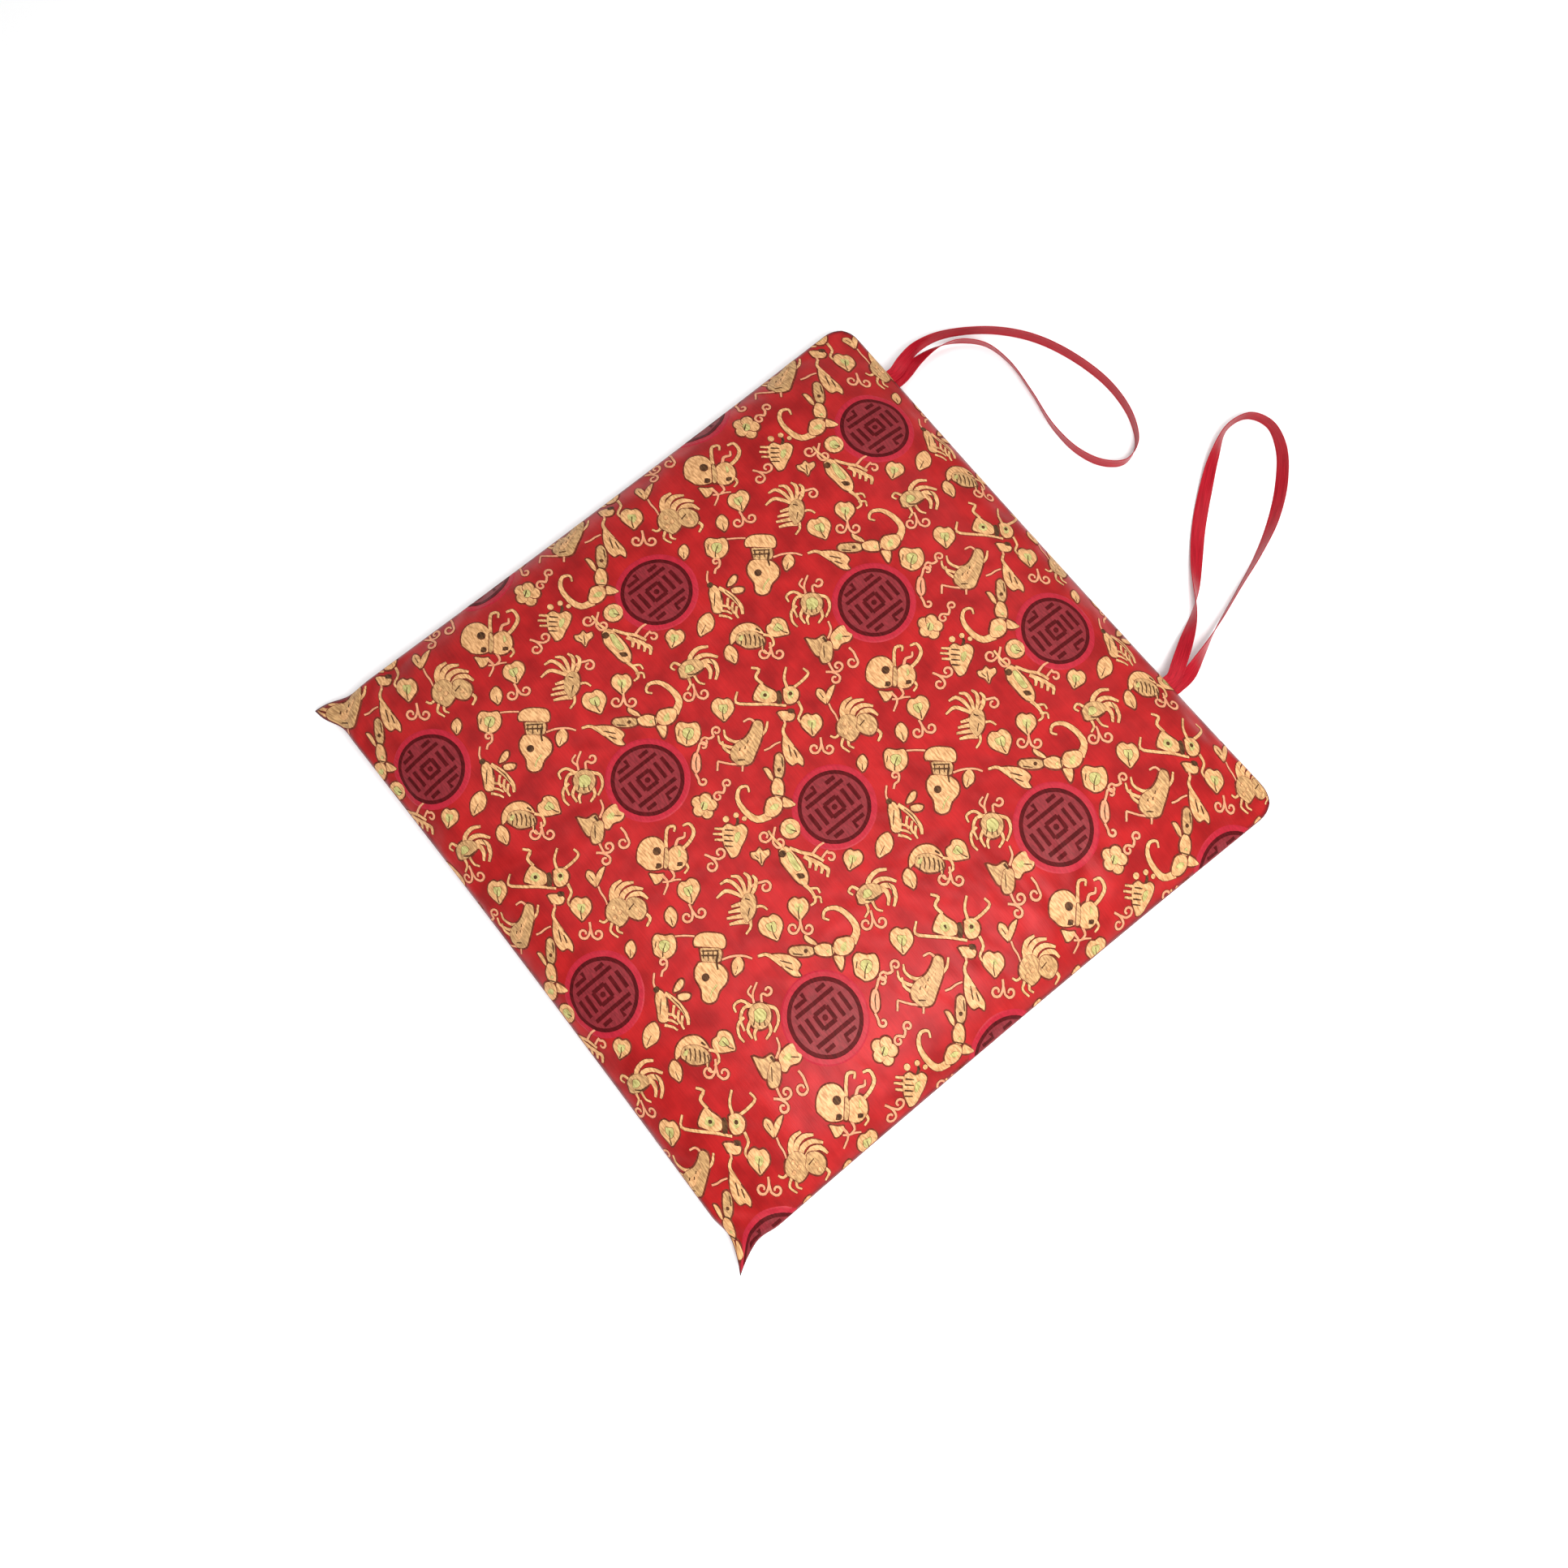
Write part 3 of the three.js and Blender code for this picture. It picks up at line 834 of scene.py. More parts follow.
def hooked_blossom(at):
    """A flower leaning over, with a fringe of hooked petals"""
    for points in ([(-4.4, 1), (-4.6, 7), (0.4, 12.6), (6.2, 13.6)],
                   [(-2.6, 1), (-0.4, 6.4), (5.6, 8.2), (12.2, 6.6)],
                   [(-0.6, 0), (4.4, 4.2), (9.8, 3.2), (12, -2.6), (10.8, -7.8)],
                   [(0, 0), (5, 1.6), (7.6, -2.2), (7.4, -7.4)]):
        stroke(at, points, (3.5, 3.1, 1.7), 1)
    patch(at, [(-10.6, -6.8), (-4.6, -6.6), (0.6, -3.4), (4, 0.6), (2.2, 4.6), (-3.6, 5.8), (-9, 3.8),
               (-12.4, -1.4)], 2, "shade")
    patch(at, [(-8.4, -3.6), (-4.6, -3.4), (-1.6, -0.6), (-4, 2.4), (-8, 1.4)], 3, "green")
    vein(at, [(-6.4, -4.4), (-1.8, -4.2), (1.8, -1.6)], (0.8, 1.1, 0.6), 4)
    stroke(at, [(-9.6, 1), (-14.6, 3.2), (-16.4, 0.4), (-13.8, -1.4)], (2, 1.3))
    stroke(at, [(-6, -6), (-4.4, -10.4), (-6.4, -14.4)], (2, 1.3))
    stroke(at, [(-2.4, -4.6), (0.6, -9.4), (4.4, -10.6)], (1.8, 1.2))
    vein(at, [(7, 5.6), (9.8, 1.6), (9.6, -3)], (0.7, 0.5), 2)


try_motifs(rosette, chrysanthemum, hooked_blossom)

# %% [markdown]
# These blossoms are seen from the side or wide open. Their petals differ too much for a loop over
# an angle, so each is a row of points, and a loop draws the rows.

# %% Open blossoms
def spider_blossom(at):
    """A chrysanthemum with thin petals thrown out to one side"""
    for points in ([(1, 3), (-4.4, 5.6), (-9.6, 6.6), (-14.4, 2.6)],
                   [(1, 4), (-3.6, 9.8), (-8.6, 12.6), (-12.6, 10.4)],
                   [(2, 4), (0.4, 10.4), (-2.6, 14.6), (-6.6, 15)],
                   [(3, 4), (4.2, 10), (3.4, 14.8), (0.6, 17)],
                   [(4, 3), (7, 8.2), (7.6, 13.2), (5.4, 15.6)]):
        stroke(at, points, (1.8, 2.6, 2.4, 1.3), 1)
    for y, reach in ((-1.2, -6), (-4.4, -7.6), (-7.8, -8.4), (-11, -6.8)):
        stroke(at, [(4, y + 1), (-1.2, y + 0.6), (reach, y - 0.8)], (3.2, 2.7, 1.5), 1)
    patch(at, [(2.2, -11.4), (6.8, -7.6), (8.6, -1.4), (6.6, 5.4), (2, 5.8), (-1.2, 0.6), (-1, -6)],
               2, "shade")
    stroke(at, [(6.2, -2.4), (11.4, -1.4), (14.6, -3.4)], (1.9, 1.2))
    stroke(at, [(4.8, -8.2), (5.4, -12.8), (2.8, -17)], (2, 1.3))
    vein(at, [(1.6, 2.6), (4.4, 1.8)], (1, 0.8), 3)
    vein(at, [(3.6, -7.4), (4.4, -2.6)], (0.5, 0.8), 3)


def orchid(at):
    """A long flower on a stem, with a fringe of short petals on its left"""
    for x, y, reach in ((-4.2, 0.6, 7.4), (-6, -2.8, 8.8), (-5.4, -6.2, 7)):
        stroke(at, [(x + 4, y), (x - 1, y - 0.6), (x - reach + 1, y + 2.4), (x - reach, y + 6.6)],
                    (2.2, 2, 1.2))
    patch(at, [(-3.8, -14), (4.2, -13), (7, -7.2), (9.4, -1), (11.2, 6), (10.2, 12), (5.8, 12.8),
               (3.4, 7.4), (0.2, 2.6), (-4.6, -0.4), (-8, -5.2), (-7.4, -10.6)], 1, "shade")
    patch(at, [(-3.4, -9.6), (0.6, -8.2), (3.2, -3.4), (6.6, 3.4), (6.4, 6.2), (3, 1.6), (-1.4, -3),
               (-4.2, -6.2)], 2)
    vein(at, [(-3.6, -10.8), (0.6, -10.6)], (0.8, 1, 0.6), 3)
    for x, y in ((-2.6, -5.4), (0.4, -4.4), (1.8, -1)):
        vein(at, [(x, y), (x + 0.4, y + 1.8)], (0.8, 0.6), 3)
    stroke(at, [(9, 3), (12.4, 6.8), (13.4, 12)], (2, 1.8, 1.3))
    stem(at, [(6.6, 11.2), (3, 13.6), (-0.6, 11.8)], (1.6, 1.2))
    stem(at, [(-0.6, -13.2), (-7.6, -13), (-15.2, -11.4)], (1.5, 1.2))
    stem(at, [(-0.6, -13), (-0.8, -17.4)], (1.5, 1.2))
    stem(at, [(-15, -11.6), (-15.2, -17)], (1.5, 1.3))


def peony(at):
    """A round flower hanging from its stalk, ringed by long petals"""
    for side in (-1, 1):
        stroke(at, [(side * 3.6, 5), (side * 8.8, 3.6), (side * 10.6, -2.2), (side * 8.2, -8.6)],
                    (2.2, 2, 1.3), 1)
        stroke(at, [(side * 4.6, -2.6), (side * 6.4, -7.8), (side * 3.8, -12.4)], (2.2, 2, 1.3), 1)
    stroke(at, [(-4.4, 4.4), (-10.6, 7.4), (-14.6, 4.6), (-13.2, 1)], (1.9, 1.8, 1.2), 1)
    stroke(at, [(-8.6, -1.4), (-11.8, -5.2), (-11, -11.4), (-8.2, -14.4)], (1.9, 1.8, 1.2), 1)
    stroke(at, [(-0.6, -5.6), (-2.6, -9.4), (-1.8, -13.2)], (2.2, 1.9, 1.3), 1)
    patch(at, [(-4.8, -6), (0, -8), (5, -5.6), (7, -0.4), (5.2, 5), (0.2, 7), (-4.8, 5.2), (-6.8, 0.2)],
               2, "shade")
    patch(at, [(-3.2, -3.2), (0.2, -4.6), (3.6, -2.8), (4.2, 1.6), (0.4, 4.2), (-3.6, 2)], 3, "green")
    for x in (-3.2, 0.1, 3.2):
        vein(at, [(x, -5.6), (x * 0.8, -2.4)], (0.9, 0.6), 4)
    stem(at, [(-3.2, 6), (-4.2, 11), (-2, 17.6)], (1.5, 1.3))
    curled(at, [(1.2, 6.4), (0.6, 10.6)], 4.2, 13.2, 3, 215, 330)
    stem(at, [(-4, 9), (-7, 12), (-5, 15.6)], (1.5, 1.2))


try_motifs(spider_blossom, orchid, peony)

# %% [markdown]
# Between the blossoms lie a few lucky things, as on many old brocades. The body of each is a broad
# patch, and its bands, knots and cords are strokes over it.

# %% Trumpet, gourd and pouch
def trumpet(at):
    """A trumpet flower with two petals and a fringe on a stem"""
    stem(at, [(-9.6, 17.5), (-10, 12), (-8.6, 8.4)], (1.2, 1.3))
    patch(at, [(-8.6, 8.6), (-4.6, 8), (-1.6, 2.4), (-0.6, -4.2), (-1.4, -9.2), (-6.4, -9), (-8, -2.4),
               (-9.2, 3.6)])
    stroke(at, [(-3.2, 6.6), (1.8, 3.2), (6.6, -1.2), (10, -6), (10.6, -10.2)], (2.6, 3.2, 2.8, 1.8), 1)
    for x, y in ((2.2, -1.2), (5, -3.8), (7.2, -6.6)):
        stroke(at, [(x, y + 1.4), (x - 0.4, y - 3.4), (x + 1, y - 6)], (1.8, 1.7, 1.2))
    for y in (-5.2, -8.4, -11.6):
        stroke(at, [(-3, y + 1), (1.8, y), (4.6, y - 1.6)], (1.8, 1.5, 1.1))
    patch(at, [(1.4, 6.6), (2.2, 10.8), (5.2, 14.6), (7.4, 14.2), (7.2, 10.4), (4.4, 7.4)], 1)
    patch(at, [(3.4, 5.6), (7.4, 7.2), (11.6, 6.4), (11, 3.6), (6.6, 2.4), (4, 3.4)], 1)
    disc(at, -8.2, 8.4, 2, 2, "dark", 9)
    vein(at, [(-2, 4), (-1.8, -1.4)], (0.9, 0.6), 2)
    vein(at, [(-5.4, 3.6), (-5.8, -5)], (0.5, 0.9, 0.5), 1)
    vein(at, [(0.4, 4.2), (5.2, 0.2), (8.4, -4.4)], (0.5, 0.8, 0.5), 2)


def gourd(at):
    """A bottle gourd lying down, tied round its waist with a ribbon"""
    patch(at, [(-9.6, -10.4), (-2.2, -10.6), (2.4, -7.4), (2.4, 0.4), (-0.8, 6.6), (-5.6, 8.8),
               (-11.4, 7.2), (-14.8, 2), (-14.8, -6.2)])
    patch(at, [(3, -10.2), (9.4, -10.8), (13.8, -6), (13.2, 0.6), (9.2, 4), (4.2, 2.2), (1.4, -3.2)], 1)
    patch(at, [(0, -9.4), (2.4, -10), (3.8, -4.4), (2.4, 2.6), (0.4, 2.2)], 2, "shade")
    disc(at, -3.6, 0.2, 2.6, 3, "dark", 11)
    patch(at, [(7.8, -8.4), (11.2, -8), (11.4, -5.8), (8, -6)], 3, "dark", 2)
    patch(at, [(-4.4, -9.6), (-1, -9.4), (-0.8, -6.8), (-3.8, -6.6)], 3, "dark", 2)
    patch(at, [(8.4, -3.6), (10.4, -2.4), (9.8, 0.8), (8.2, 1.4)], 3, "green", 2)
    stroke(at, [(1.6, 1), (1.4, 8.2), (2.4, 13.8), (6.2, 14.4), (6, 11.4)], (2.2, 2, 1.4))
    stroke(at, [(10.4, 1), (14.6, 5.4), (17.2, 11.2), (14.4, 16), (10.8, 14.8)], (2.2, 2.4, 1.4))
    stem(at, [(6.8, 2.4), (8.2, 7), (11.8, 8.4), (12, 11.2)], (2, 1.8, 1.2))
    stroke(at, [(11.6, -5.2), (14.4, -9), (12.4, -12.4)], (2, 1.3))
    patch(at, [(-8.6, -12), (-3, -12.4), (0.8, -12.2), (-0.6, -17), (-4.6, -19)])
    stem(at, [(-0.2, -13.6), (3, -17.4), (0.8, -24.4)], (1.8, 1.2))
    stem(at, [(4.6, -10), (6.6, -14), (4.4, -16.8)], (1.8, 1.2))


def pouch(at):
    """A scent pouch below its cap"""
    patch(at, [(-9.2, 3.6), (-9.4, 8.6), (-5.6, 11.6), (2, 12), (7.4, 10.8), (9.2, 6.6), (8.2, 2.8),
               (0, 3.2)])
    patch(at, [(-6.2, 3.2), (0, 3.6), (6.4, 3.2), (6.4, -4.2), (0.4, -5), (-4.8, -4.4)], 1, "shade")
    for x, y in ((-3.8, 2), (-1, 0.6), (1.8, 1.8), (4.4, 2.2)):
        vein(at, [(x, y), (x + 0.2, y - 4.6)], (1, 0.7), 2)
    vein(at, [(-4.8, -1), (5.2, -0.8)], (1, 1.4, 1), 2, 3)
    vein(at, [(-4.8, 1.4), (5, 1.8)], (0.7, 1.1, 0.7), 3, 3)
    patch(at, [(-6.4, -4.6), (0.4, -4.2), (6.4, -5.4), (10.6, -10.2), (10.2, -15.4), (6.4, -20),
               (4.4, -25.4), (0.2, -27), (-3.6, -25), (-4.6, -19.4), (-8.2, -13.4), (-8.4, -8)], 2)
    disc(at, -2, -12.8, 2.5, 3, "dark", 11)
    vein(at, [(4.6, 0.4), (4, -4), (4.8, -8.6)], (1.3, 1.6, 1), 4)
    stem(at, [(7, -3), (12.4, -1.2), (19.6, -0.8), (24, -2.2)], (1.3, 1.4, 1.2))
    stem(at, [(-9, 9.6), (-14.4, 9.8), (-20, 9.4)], (1.2, 1.1))
    stroke(at, [(4.6, -16.6), (1.8, -20.4), (1, -23.8)], (1.2, 0.8), 3, "green", 2)


try_motifs(trumpet, gourd, pouch)

# %% [markdown]
# Three more things, with ribs, petals or stripes in a row. Each row is a loop over a few places, and
# the spacing is a little uneven on purpose, because hand-drawn charts are.

# %% Flute, shell and fan
def flute(at):
    """A jointed flute with tassels"""
    patch(at, [(-13.6, 8.4), (-9.4, 11.4), (-3.6, 6.4), (1, 0.8), (4, -5.6), (3, -11.2), (-1.6, -10.2),
               (-7.4, -4.2), (-12.4, 2)])
    patch(at, [(-9.6, 7.4), (-6.8, 8), (-2.6, 2.8), (0.2, -2.2), (-3, -3.4), (-7.6, 2)], 1, "green")
    disc(at, -11.2, 6.6, 2.4, 2, "dark", 9)
    patch(at, [(-3.8, -4.6), (0.8, -4), (2.2, -6.6), (-1.6, -7.4)], 2, "dark", 2)
    stroke(at, [(-11.2, 10.6), (-16, 14.8), (-19.4, 19.6)], (1.9, 1.4))
    stroke(at, [(-7.2, 10), (0.2, 7.4), (6.4, 6.2), (12.4, 2.8)], (2, 2.2, 1.8))
    for x, y in ((3.4, 2), (6.8, 0.6), (10.2, -1), (13.6, -3)):
        stroke(at, [(x - 2.4, y + 3.2), (x + 1.2, y + 1.2), (x + 1, y - 3.2)], (2.6, 2.7, 1.6), 1)
    stroke(at, [(1.4, -10.4), (6, -14.6), (8, -19.6), (5.4, -22)], (2.4, 2, 1.3))
    stroke(at, [(4.6, -12.8), (9, -12.4), (10.6, -15)], (1.7, 1.2))
    stroke(at, [(6.4, -17.4), (10.6, -17.4), (11.4, -20.6)], (1.7, 1.2))
    stem(at, [(6, 6.8), (9.4, 11.2), (12.4, 13.2)], (1.8, 1.3))
    curled(at, [(11.4, 4.6), (14.6, 8.6)], 16.4, 5, 2.8, 120, -300)


def shell(at):
    """A conch with a ribbed mouth"""
    patch(at, [(-9.8, -5.6), (-10.2, 2), (-5.4, 7.8), (2, 9), (7.4, 5.6), (9.8, 1.2), (3.2, 3),
               (-3.8, 2.4), (-6.8, -2.4)])
    patch(at, [(-7, -3.6), (-6.4, 2), (-1.2, 4.2), (4.6, 3.4), (9.6, -0.2), (10, -4.6), (4.6, -7),
               (-1.4, -7)], 1, "shade")
    for x, y in ((-4.6, 1.4), (-2, 1.8), (0.8, 1.8), (3.6, 1.2), (6.2, 0.2), (8.4, -1.2)):
        vein(at, [(x, y), (x + 0.9, y - 3.4), (x + 0.6, y - 6.8)], (1, 1.1, 0.6), 2)
    patch(at, [(-5.8, -2.6), (-4.8, 0.6), (-2.4, 1.4), (-3.2, -2.4)], 3, "green", 2)
    stroke(at, [(9, 1.4), (13.4, 0.2), (15, -4.6), (12.2, -6.8)], (1.9, 1.7, 1.2))
    stroke(at, [(8.4, -4.8), (9.4, -9.4), (13.4, -10.2)], (1.7, 1.2))
    vein(at, [(4.6, 5.2), (7.2, 3.6)], (1.4, 1), 3)


def fan(at):
    """A ribbed fan hung from a cord"""
    patch(at, [(-0.6, -12.6), (3.4, -11.4), (6.2, -5.4), (8.8, 0.2), (9.2, 5.6), (5.4, 8.4), (1.4, 7),
               (-2.4, 8.6), (-6, 5.8), (-6.4, 0.4), (-4.8, -6)])
    for x, y, reach in ((-6.4, 4.8, -10.6), (-6.8, 1.6, -11.4), (-6.2, -1.8, -10.4)):
        stroke(at, [(x + 3.6, y), (reach, y + 0.4)], (2, 1.3))
    for y in (4.4, 1.2, -2, -5.2):
        vein(at, [(-5 + 0.1 * abs(y), y), (0.8, y - 0.4)], (1, 1.3, 0.6), 1, 3)
    patch(at, [(1.4, 2), (4.6, 3.6), (5.2, 0.2), (2.6, -3.8), (1, -1.4)], 2, "green")
    disc(at, -3.8, 10.8, 2.3, 0, "gold", 9)
    vein(at, [(2.4, 7), (3.4, 10), (2.6, 12)], (1.7, 2.1, 1.3), 0)
    disc(at, 2.2, 13.2, 2, 1, "gold", 9)
    disc(at, 7.2, 11.2, 1.8, 1, "gold", 9)


try_motifs(flute, shell, fan)

# %% [markdown]
# The last three spread out on both sides of a middle line. The cloud-like bat and the butterfly
# have curled wing tips, and the clappers are tied with a cord.

# %% Bat, clappers and butterfly
def bat(at):
    """A bat drawn as a cloud: a pointed wing, scalloped lobes and a curled tail"""
    stroke(at, [(5.6, 35.6), (4.4, 31), (6.4, 26.4), (9.2, 21.6)], (1.6, 2.2, 4.2), 1)
    patch(at, [(4.2, 30.6), (8.2, 25.4), (12.6, 20.4), (16.4, 14.6), (16, 10.2), (12.8, 12), (9.8, 10.6),
               (6.8, 12.8), (4.4, 17.2), (3.6, 24)])
    patch(at, [(-0.4, 16.6), (2.2, 18.6), (4.8, 16.8), (5.6, 11), (4.8, 4.8), (2.2, 2.6), (-0.2, 4.6),
               (-1, 10.6)], 1, "shade")
    patch(at, [(-7.4, 9.4), (-4.4, 9.8), (-1.2, 5.6), (-0.8, 1.4), (-3.8, 3.4)])
    patch(at, [(-1.2, 2.6), (1, 4.4), (4.2, 2.2), (5.4, -3), (4.4, -7.4), (0.8, -8), (-1.8, -5.2),
               (-2.4, -1.2)], 2)
    patch(at, [(4.2, -7), (8, -8.2), (12.8, -11.8), (7.6, -13.6), (3.6, -12.6)], 1)
    patch(at, [(-5, -9.2), (-1.6, -7), (2.6, -7.4), (4.8, -10.8), (3.6, -16), (-0.2, -19), (-5.2, -18.6),
               (-6.2, -14.2)], 3)
    stroke(at, [(-2.6, -17.8), (-10, -20.2), (-17, -15.6), (-21.4, -8.2), (-20.2, -2.2), (-16, -1.2),
                (-14.8, -4.6)], (5.4, 4.4, 3.4, 2.4, 1.7, 1.2), 2)
    disc(at, 2.2, 8.4, 1.3, 4, "dark", 8)
    for points in ([(-0.2, 4.2), (4.4, 3.2)], [(-1.6, -6), (4.6, -7)], [(7.6, 23), (9.2, 16)],
                   [(10.8, 20), (12.6, 15.4)], [(4.4, 10), (3.8, 15.6)]):
        vein(at, points, (0.6, 1, 0.6), 5, 3)
    patch(at, [(-3.6, -14.6), (-0.6, -11), (2.6, -11.6), (1, -15.2)], 4, "green")
    patch(at, [(0.4, -5), (2.6, -2.6), (3.6, -5.2)], 4, "green", 2)


def castanets(at):
    """Two clappers tied to a crossed cord"""
    stroke(at, [(-23.6, 3), (-24.4, -3.4), (-16, -4.6), (-6, -4.6), (4.6, -5.6)], (1.3, 1.9, 1.9, 1.6))
    patch(at, [(-14.6, -2.4), (-13.8, 3), (-10, 8.4), (-6.6, 6.2), (-0.8, 2.4), (-1, -3.2), (-8, -4.2)])
    patch(at, [(-10.8, -0.8), (-9.8, 3.2), (-6.2, 3.4), (-4.6, 0.2), (-7.4, -2.2)], 1, "green")
    disc(at, -7.6, 0.8, 1.5, 2, "dark", 8)
    patch(at, [(-1.4, 2.8), (1.4, 3.6), (2.2, -4.2), (-0.8, -4.8)], 2, "dark", 2)
    patch(at, [(2.4, 4.6), (8.2, 6.4), (12.2, 2.4), (10.6, -3.6), (5.2, -5), (2.6, -1.2)], 1)
    patch(at, [(4.8, 2.6), (8.4, 3.6), (9, -0.4), (5.6, -2)], 2, "green")
    disc(at, 7, 1.6, 1.5, 3, "dark", 8)
    stroke(at, [(-9, 7.4), (-13, 11.6), (-11.2, 16.2), (-15.6, 17.4)], (2, 2.2, 1.5))
    stroke(at, [(5, 5.4), (3.4, 11), (4.6, 17.6)], (2, 1.4))
    stroke(at, [(9, 5.4), (13.6, 9), (17.4, 13.8), (14.4, 16.8)], (1.9, 1.9, 1.3))
    patch(at, [(5.2, -7.6), (9, -7.4), (9.6, -10), (5.4, -10.2)], 1, "dark", 2)
    patch(at, [(-1.2, -9.4), (4.4, -8.4), (10, -10.6), (8.4, -14.6), (1.8, -14.2)])
    stroke(at, [(11.4, -3), (13.6, -8), (11.6, -13.4), (14.6, -17)], (1.9, 1.7, 1.3))
    stem(at, [(3.4, -13.6), (4.2, -17.2)], (1.7, 1.2))


def butterfly(at):
    """A butterfly with its wings half shut"""
    patch(at, [(-13.4, 3.6), (-7, 2.6), (-2.2, 5.2), (0.2, 1.6), (-1, -5.4), (-5.6, -8.4), (-9.6, -3.6)],
               1, "shade")
    patch(at, [(1.2, 3.6), (4.4, 8.4), (9.6, 11.4), (12, 7.2), (15, 5.4), (13, 1), (8.4, -0.8), (6, -4.2),
               (2.4, -3)])
    patch(at, [(-3.4, 0.6), (2.2, 1.4), (3.4, -5.2), (1.6, -11.6), (-3.2, -12.4), (-5, -6.2)], 2, "shade")
    patch(at, [(3.6, 2.6), (7.4, 6.4), (9.4, 4.2), (6.6, 1.2)], 1, "green")
    vein(at, [(-2.6, 3.6), (-0.4, 0.8)], (2, 1.4), 3)
    vein(at, [(8.4, 4), (13, 4)], (0.5, 0.9, 0.5), 2)
    vein(at, [(-2.2, -1.6), (-1.8, -9)], (0.5, 0.9, 0.5), 3)
    stem(at, [(0.4, 2.8), (2.2, 8.6), (0.6, 13.4)], (1.6, 1.2))
    stem(at, [(0.4, -11.6), (2.8, -16.2), (5.2, -18.6)], (1.6, 1.3))


try_motifs(bat, castanets, butterfly)

# %% [markdown]
# The chart itself, one row for each motif of the repeat. The first rows are the large figures, then
# come the leaves and buds between them, and last the tendrils that fill what is left.

# %% The chart
CHART = [  # motif, x and y in mm, turn in degrees, size, flip
    (bat, 9.2, -22.1, 0, 1.0, False), (bat, 97, -58, 90, 1.0, True),
    (gourd, -0.5, 72.4, 0, 1.0, False), (pouch, 61.1, 58.3, 0, 1.0, False),
    (flute, 55.1, -38.9, 0, 1.0, False), (trumpet, 69.4, 23.7, 0, 1.0, False),
    (shell, 96.9, 18.8, 0, 1.0, False), (fan, 17.6, -60, 0, 0.95, False),
    (castanets, -30.0, 11.7, 0, 1.0, False), (orchid, -21.4, -20.4, 0, 1.0, False),
    (chrysanthemum, 10.3, 37.4, 0, 1.0, False), (hooked_blossom, 93.0, -15.1, 0, 0.95, False),
    (spider_blossom, 50.3, -78.4, 0, 1.0, False), (peony, 104.5, 60.5, 0, 1.0, False),
    (butterfly, -36.8, 54, 0, 1.0, False),
    (leaf, 121.3, -19.4, 0, 1.0, False), (square_leaf, 120, -44.4, 0, 1.0, False),
    (rosette, -6.5, -61.3, 0, 0.95, False), (round_leaf, 34.6, -31.1, 40, 1.0, True),
    (leaf, 70, -13.8, -10, 0.85, True), (leaf, 72.1, -54.7, 0, 0.9, False),
    (leaf, 70.8, -73.3, 20, 1.05, False), (leaf, 26, 70.4, 20, 1.0, True),
    (square_leaf, 41.3, 40.5, 0, 0.95, False), (leaf, -5.2, 16.4, 0, 0.95, False),
    (bud, 75.3, 5.3, -20, 1.5, True), (leaf, 103.6, 35.7, 55, 0.95, False),
    (bud, 31.1, 53.4, 10, 1.15, False), (bud, 30.8, 24.4, 0, 1.0, False),
    (bud, 98.8, 4.6, 20, 1.2, False), (bud, 76.0, 66.8, -10, 1.1, True),
    (sprout, -13.1, 33.2, 0, 1.0, False),
    (fan_leaf, 36.2, -54.1, 10, 0.95, False), (lone_flower, -28.8, -49.6, 0, 0.9, False),
    (double_tendril, 31.8, -43, -20, 1.05, False), (double_tendril, 21.5, -76, 60, 1.0, False),
    (tendril, 49.4, -61.6, 110, 1.0, False), (double_tendril, 112.5, 22.6, 0, 1.0, False),
    (double_tendril, 104.3, -26.7, 10, 1.0, False), (scroll, -36.4, -33.2, 80, 0.85, False),
    (double_tendril, 9.0, 11.4, 0, 0.95, False), (double_tendril, 37.8, 63.8, 20, 0.95, False),
    (double_tendril, 81.0, -61.0, 0, 1.0, False), (scroll, -7.4, -47.6, 20, 0.85, True),
    (hook, 49.4, 32.6, 60, 0.75, False), (tendril, -18.4, 60.0, 30, 1.05, False),
    (double_tendril, -19.6, 46.0, 80, 0.9, False), (twig, -2.6, 30.4, -60, 0.75, False),
    (twig, 15.6, 66.0, 10, 0.7, False), (twig, -9.2, -9.6, 30, 0.7, False),
]
for motif, x, y, turn, size, flip in CHART:
    motif((x, y, turn, size, flip))
print("one repeat:", len(CHART), "motifs,", len(patches), "patches,", len(strokes), "strokes")

# %% [markdown]
# The chart becomes cloth in relief. A gold thread lies on the satin for a while and then dives into
# it, so each mark gets a flat top in its own yarn and a narrow dark slope round it. The slope's dark
# yarn is partly a woven outline and partly painted shade at the step of the relief. Every yarn is a
# material of its own, and its look is made later, with the other finishes.

# %% Yarns and heights of the weave
SINK = 0.06 * MM          # how far an edge dips under the cloth
RELIEF = 0.26 * MM        # from there up to the gold
LAYER_STEP = 0.05 * MM
# The dark edge is partly a woven outline and partly painted shade at the step of the relief.
RIM = 1.1 * MM            # the dark edge of a figure
DETAIL_RIM = 0.3 * MM     # and of a mark inside one
DETAIL_AREA = 28 * MM**2
SPREAD = 0.6 * MM         # figures are drawn a little wider, to keep their gold under that edge
STROKE_HALF = 0.42        # of a stroke's width, and of its rim's, to each side of its line
ACROSS_STROKE = 3         # faces: rim, gold, rim
EDGE = 0                  # the first tone of a piece is the yarn of its sloping edges
FIGURE_TONES = ["edge", "gold", "shade", "tan", "green", "dark"]
ROUNDEL_TONES = ["bar", "halo", "maroon"]
threads = {tone: bpy.data.materials.new(tone + "_thread") for tone in FIGURE_TONES + ROUNDEL_TONES}


def give_tones(piece, tones):
    for tone in tones:
        piece.data.materials.append(threads[tone])


print("yarns in the figures:", len(FIGURE_TONES), "and in the roundels:", len(ROUNDEL_TONES))

# %% [markdown]
# Each patch starts as a filled circle primitive whose rim is moved onto the outline. An inset with
# depth then raises its middle and leaves the slope round it. The inset is the usual tool for such
# a rim, because it keeps the same width round every shape. Small marks get a thinner one.

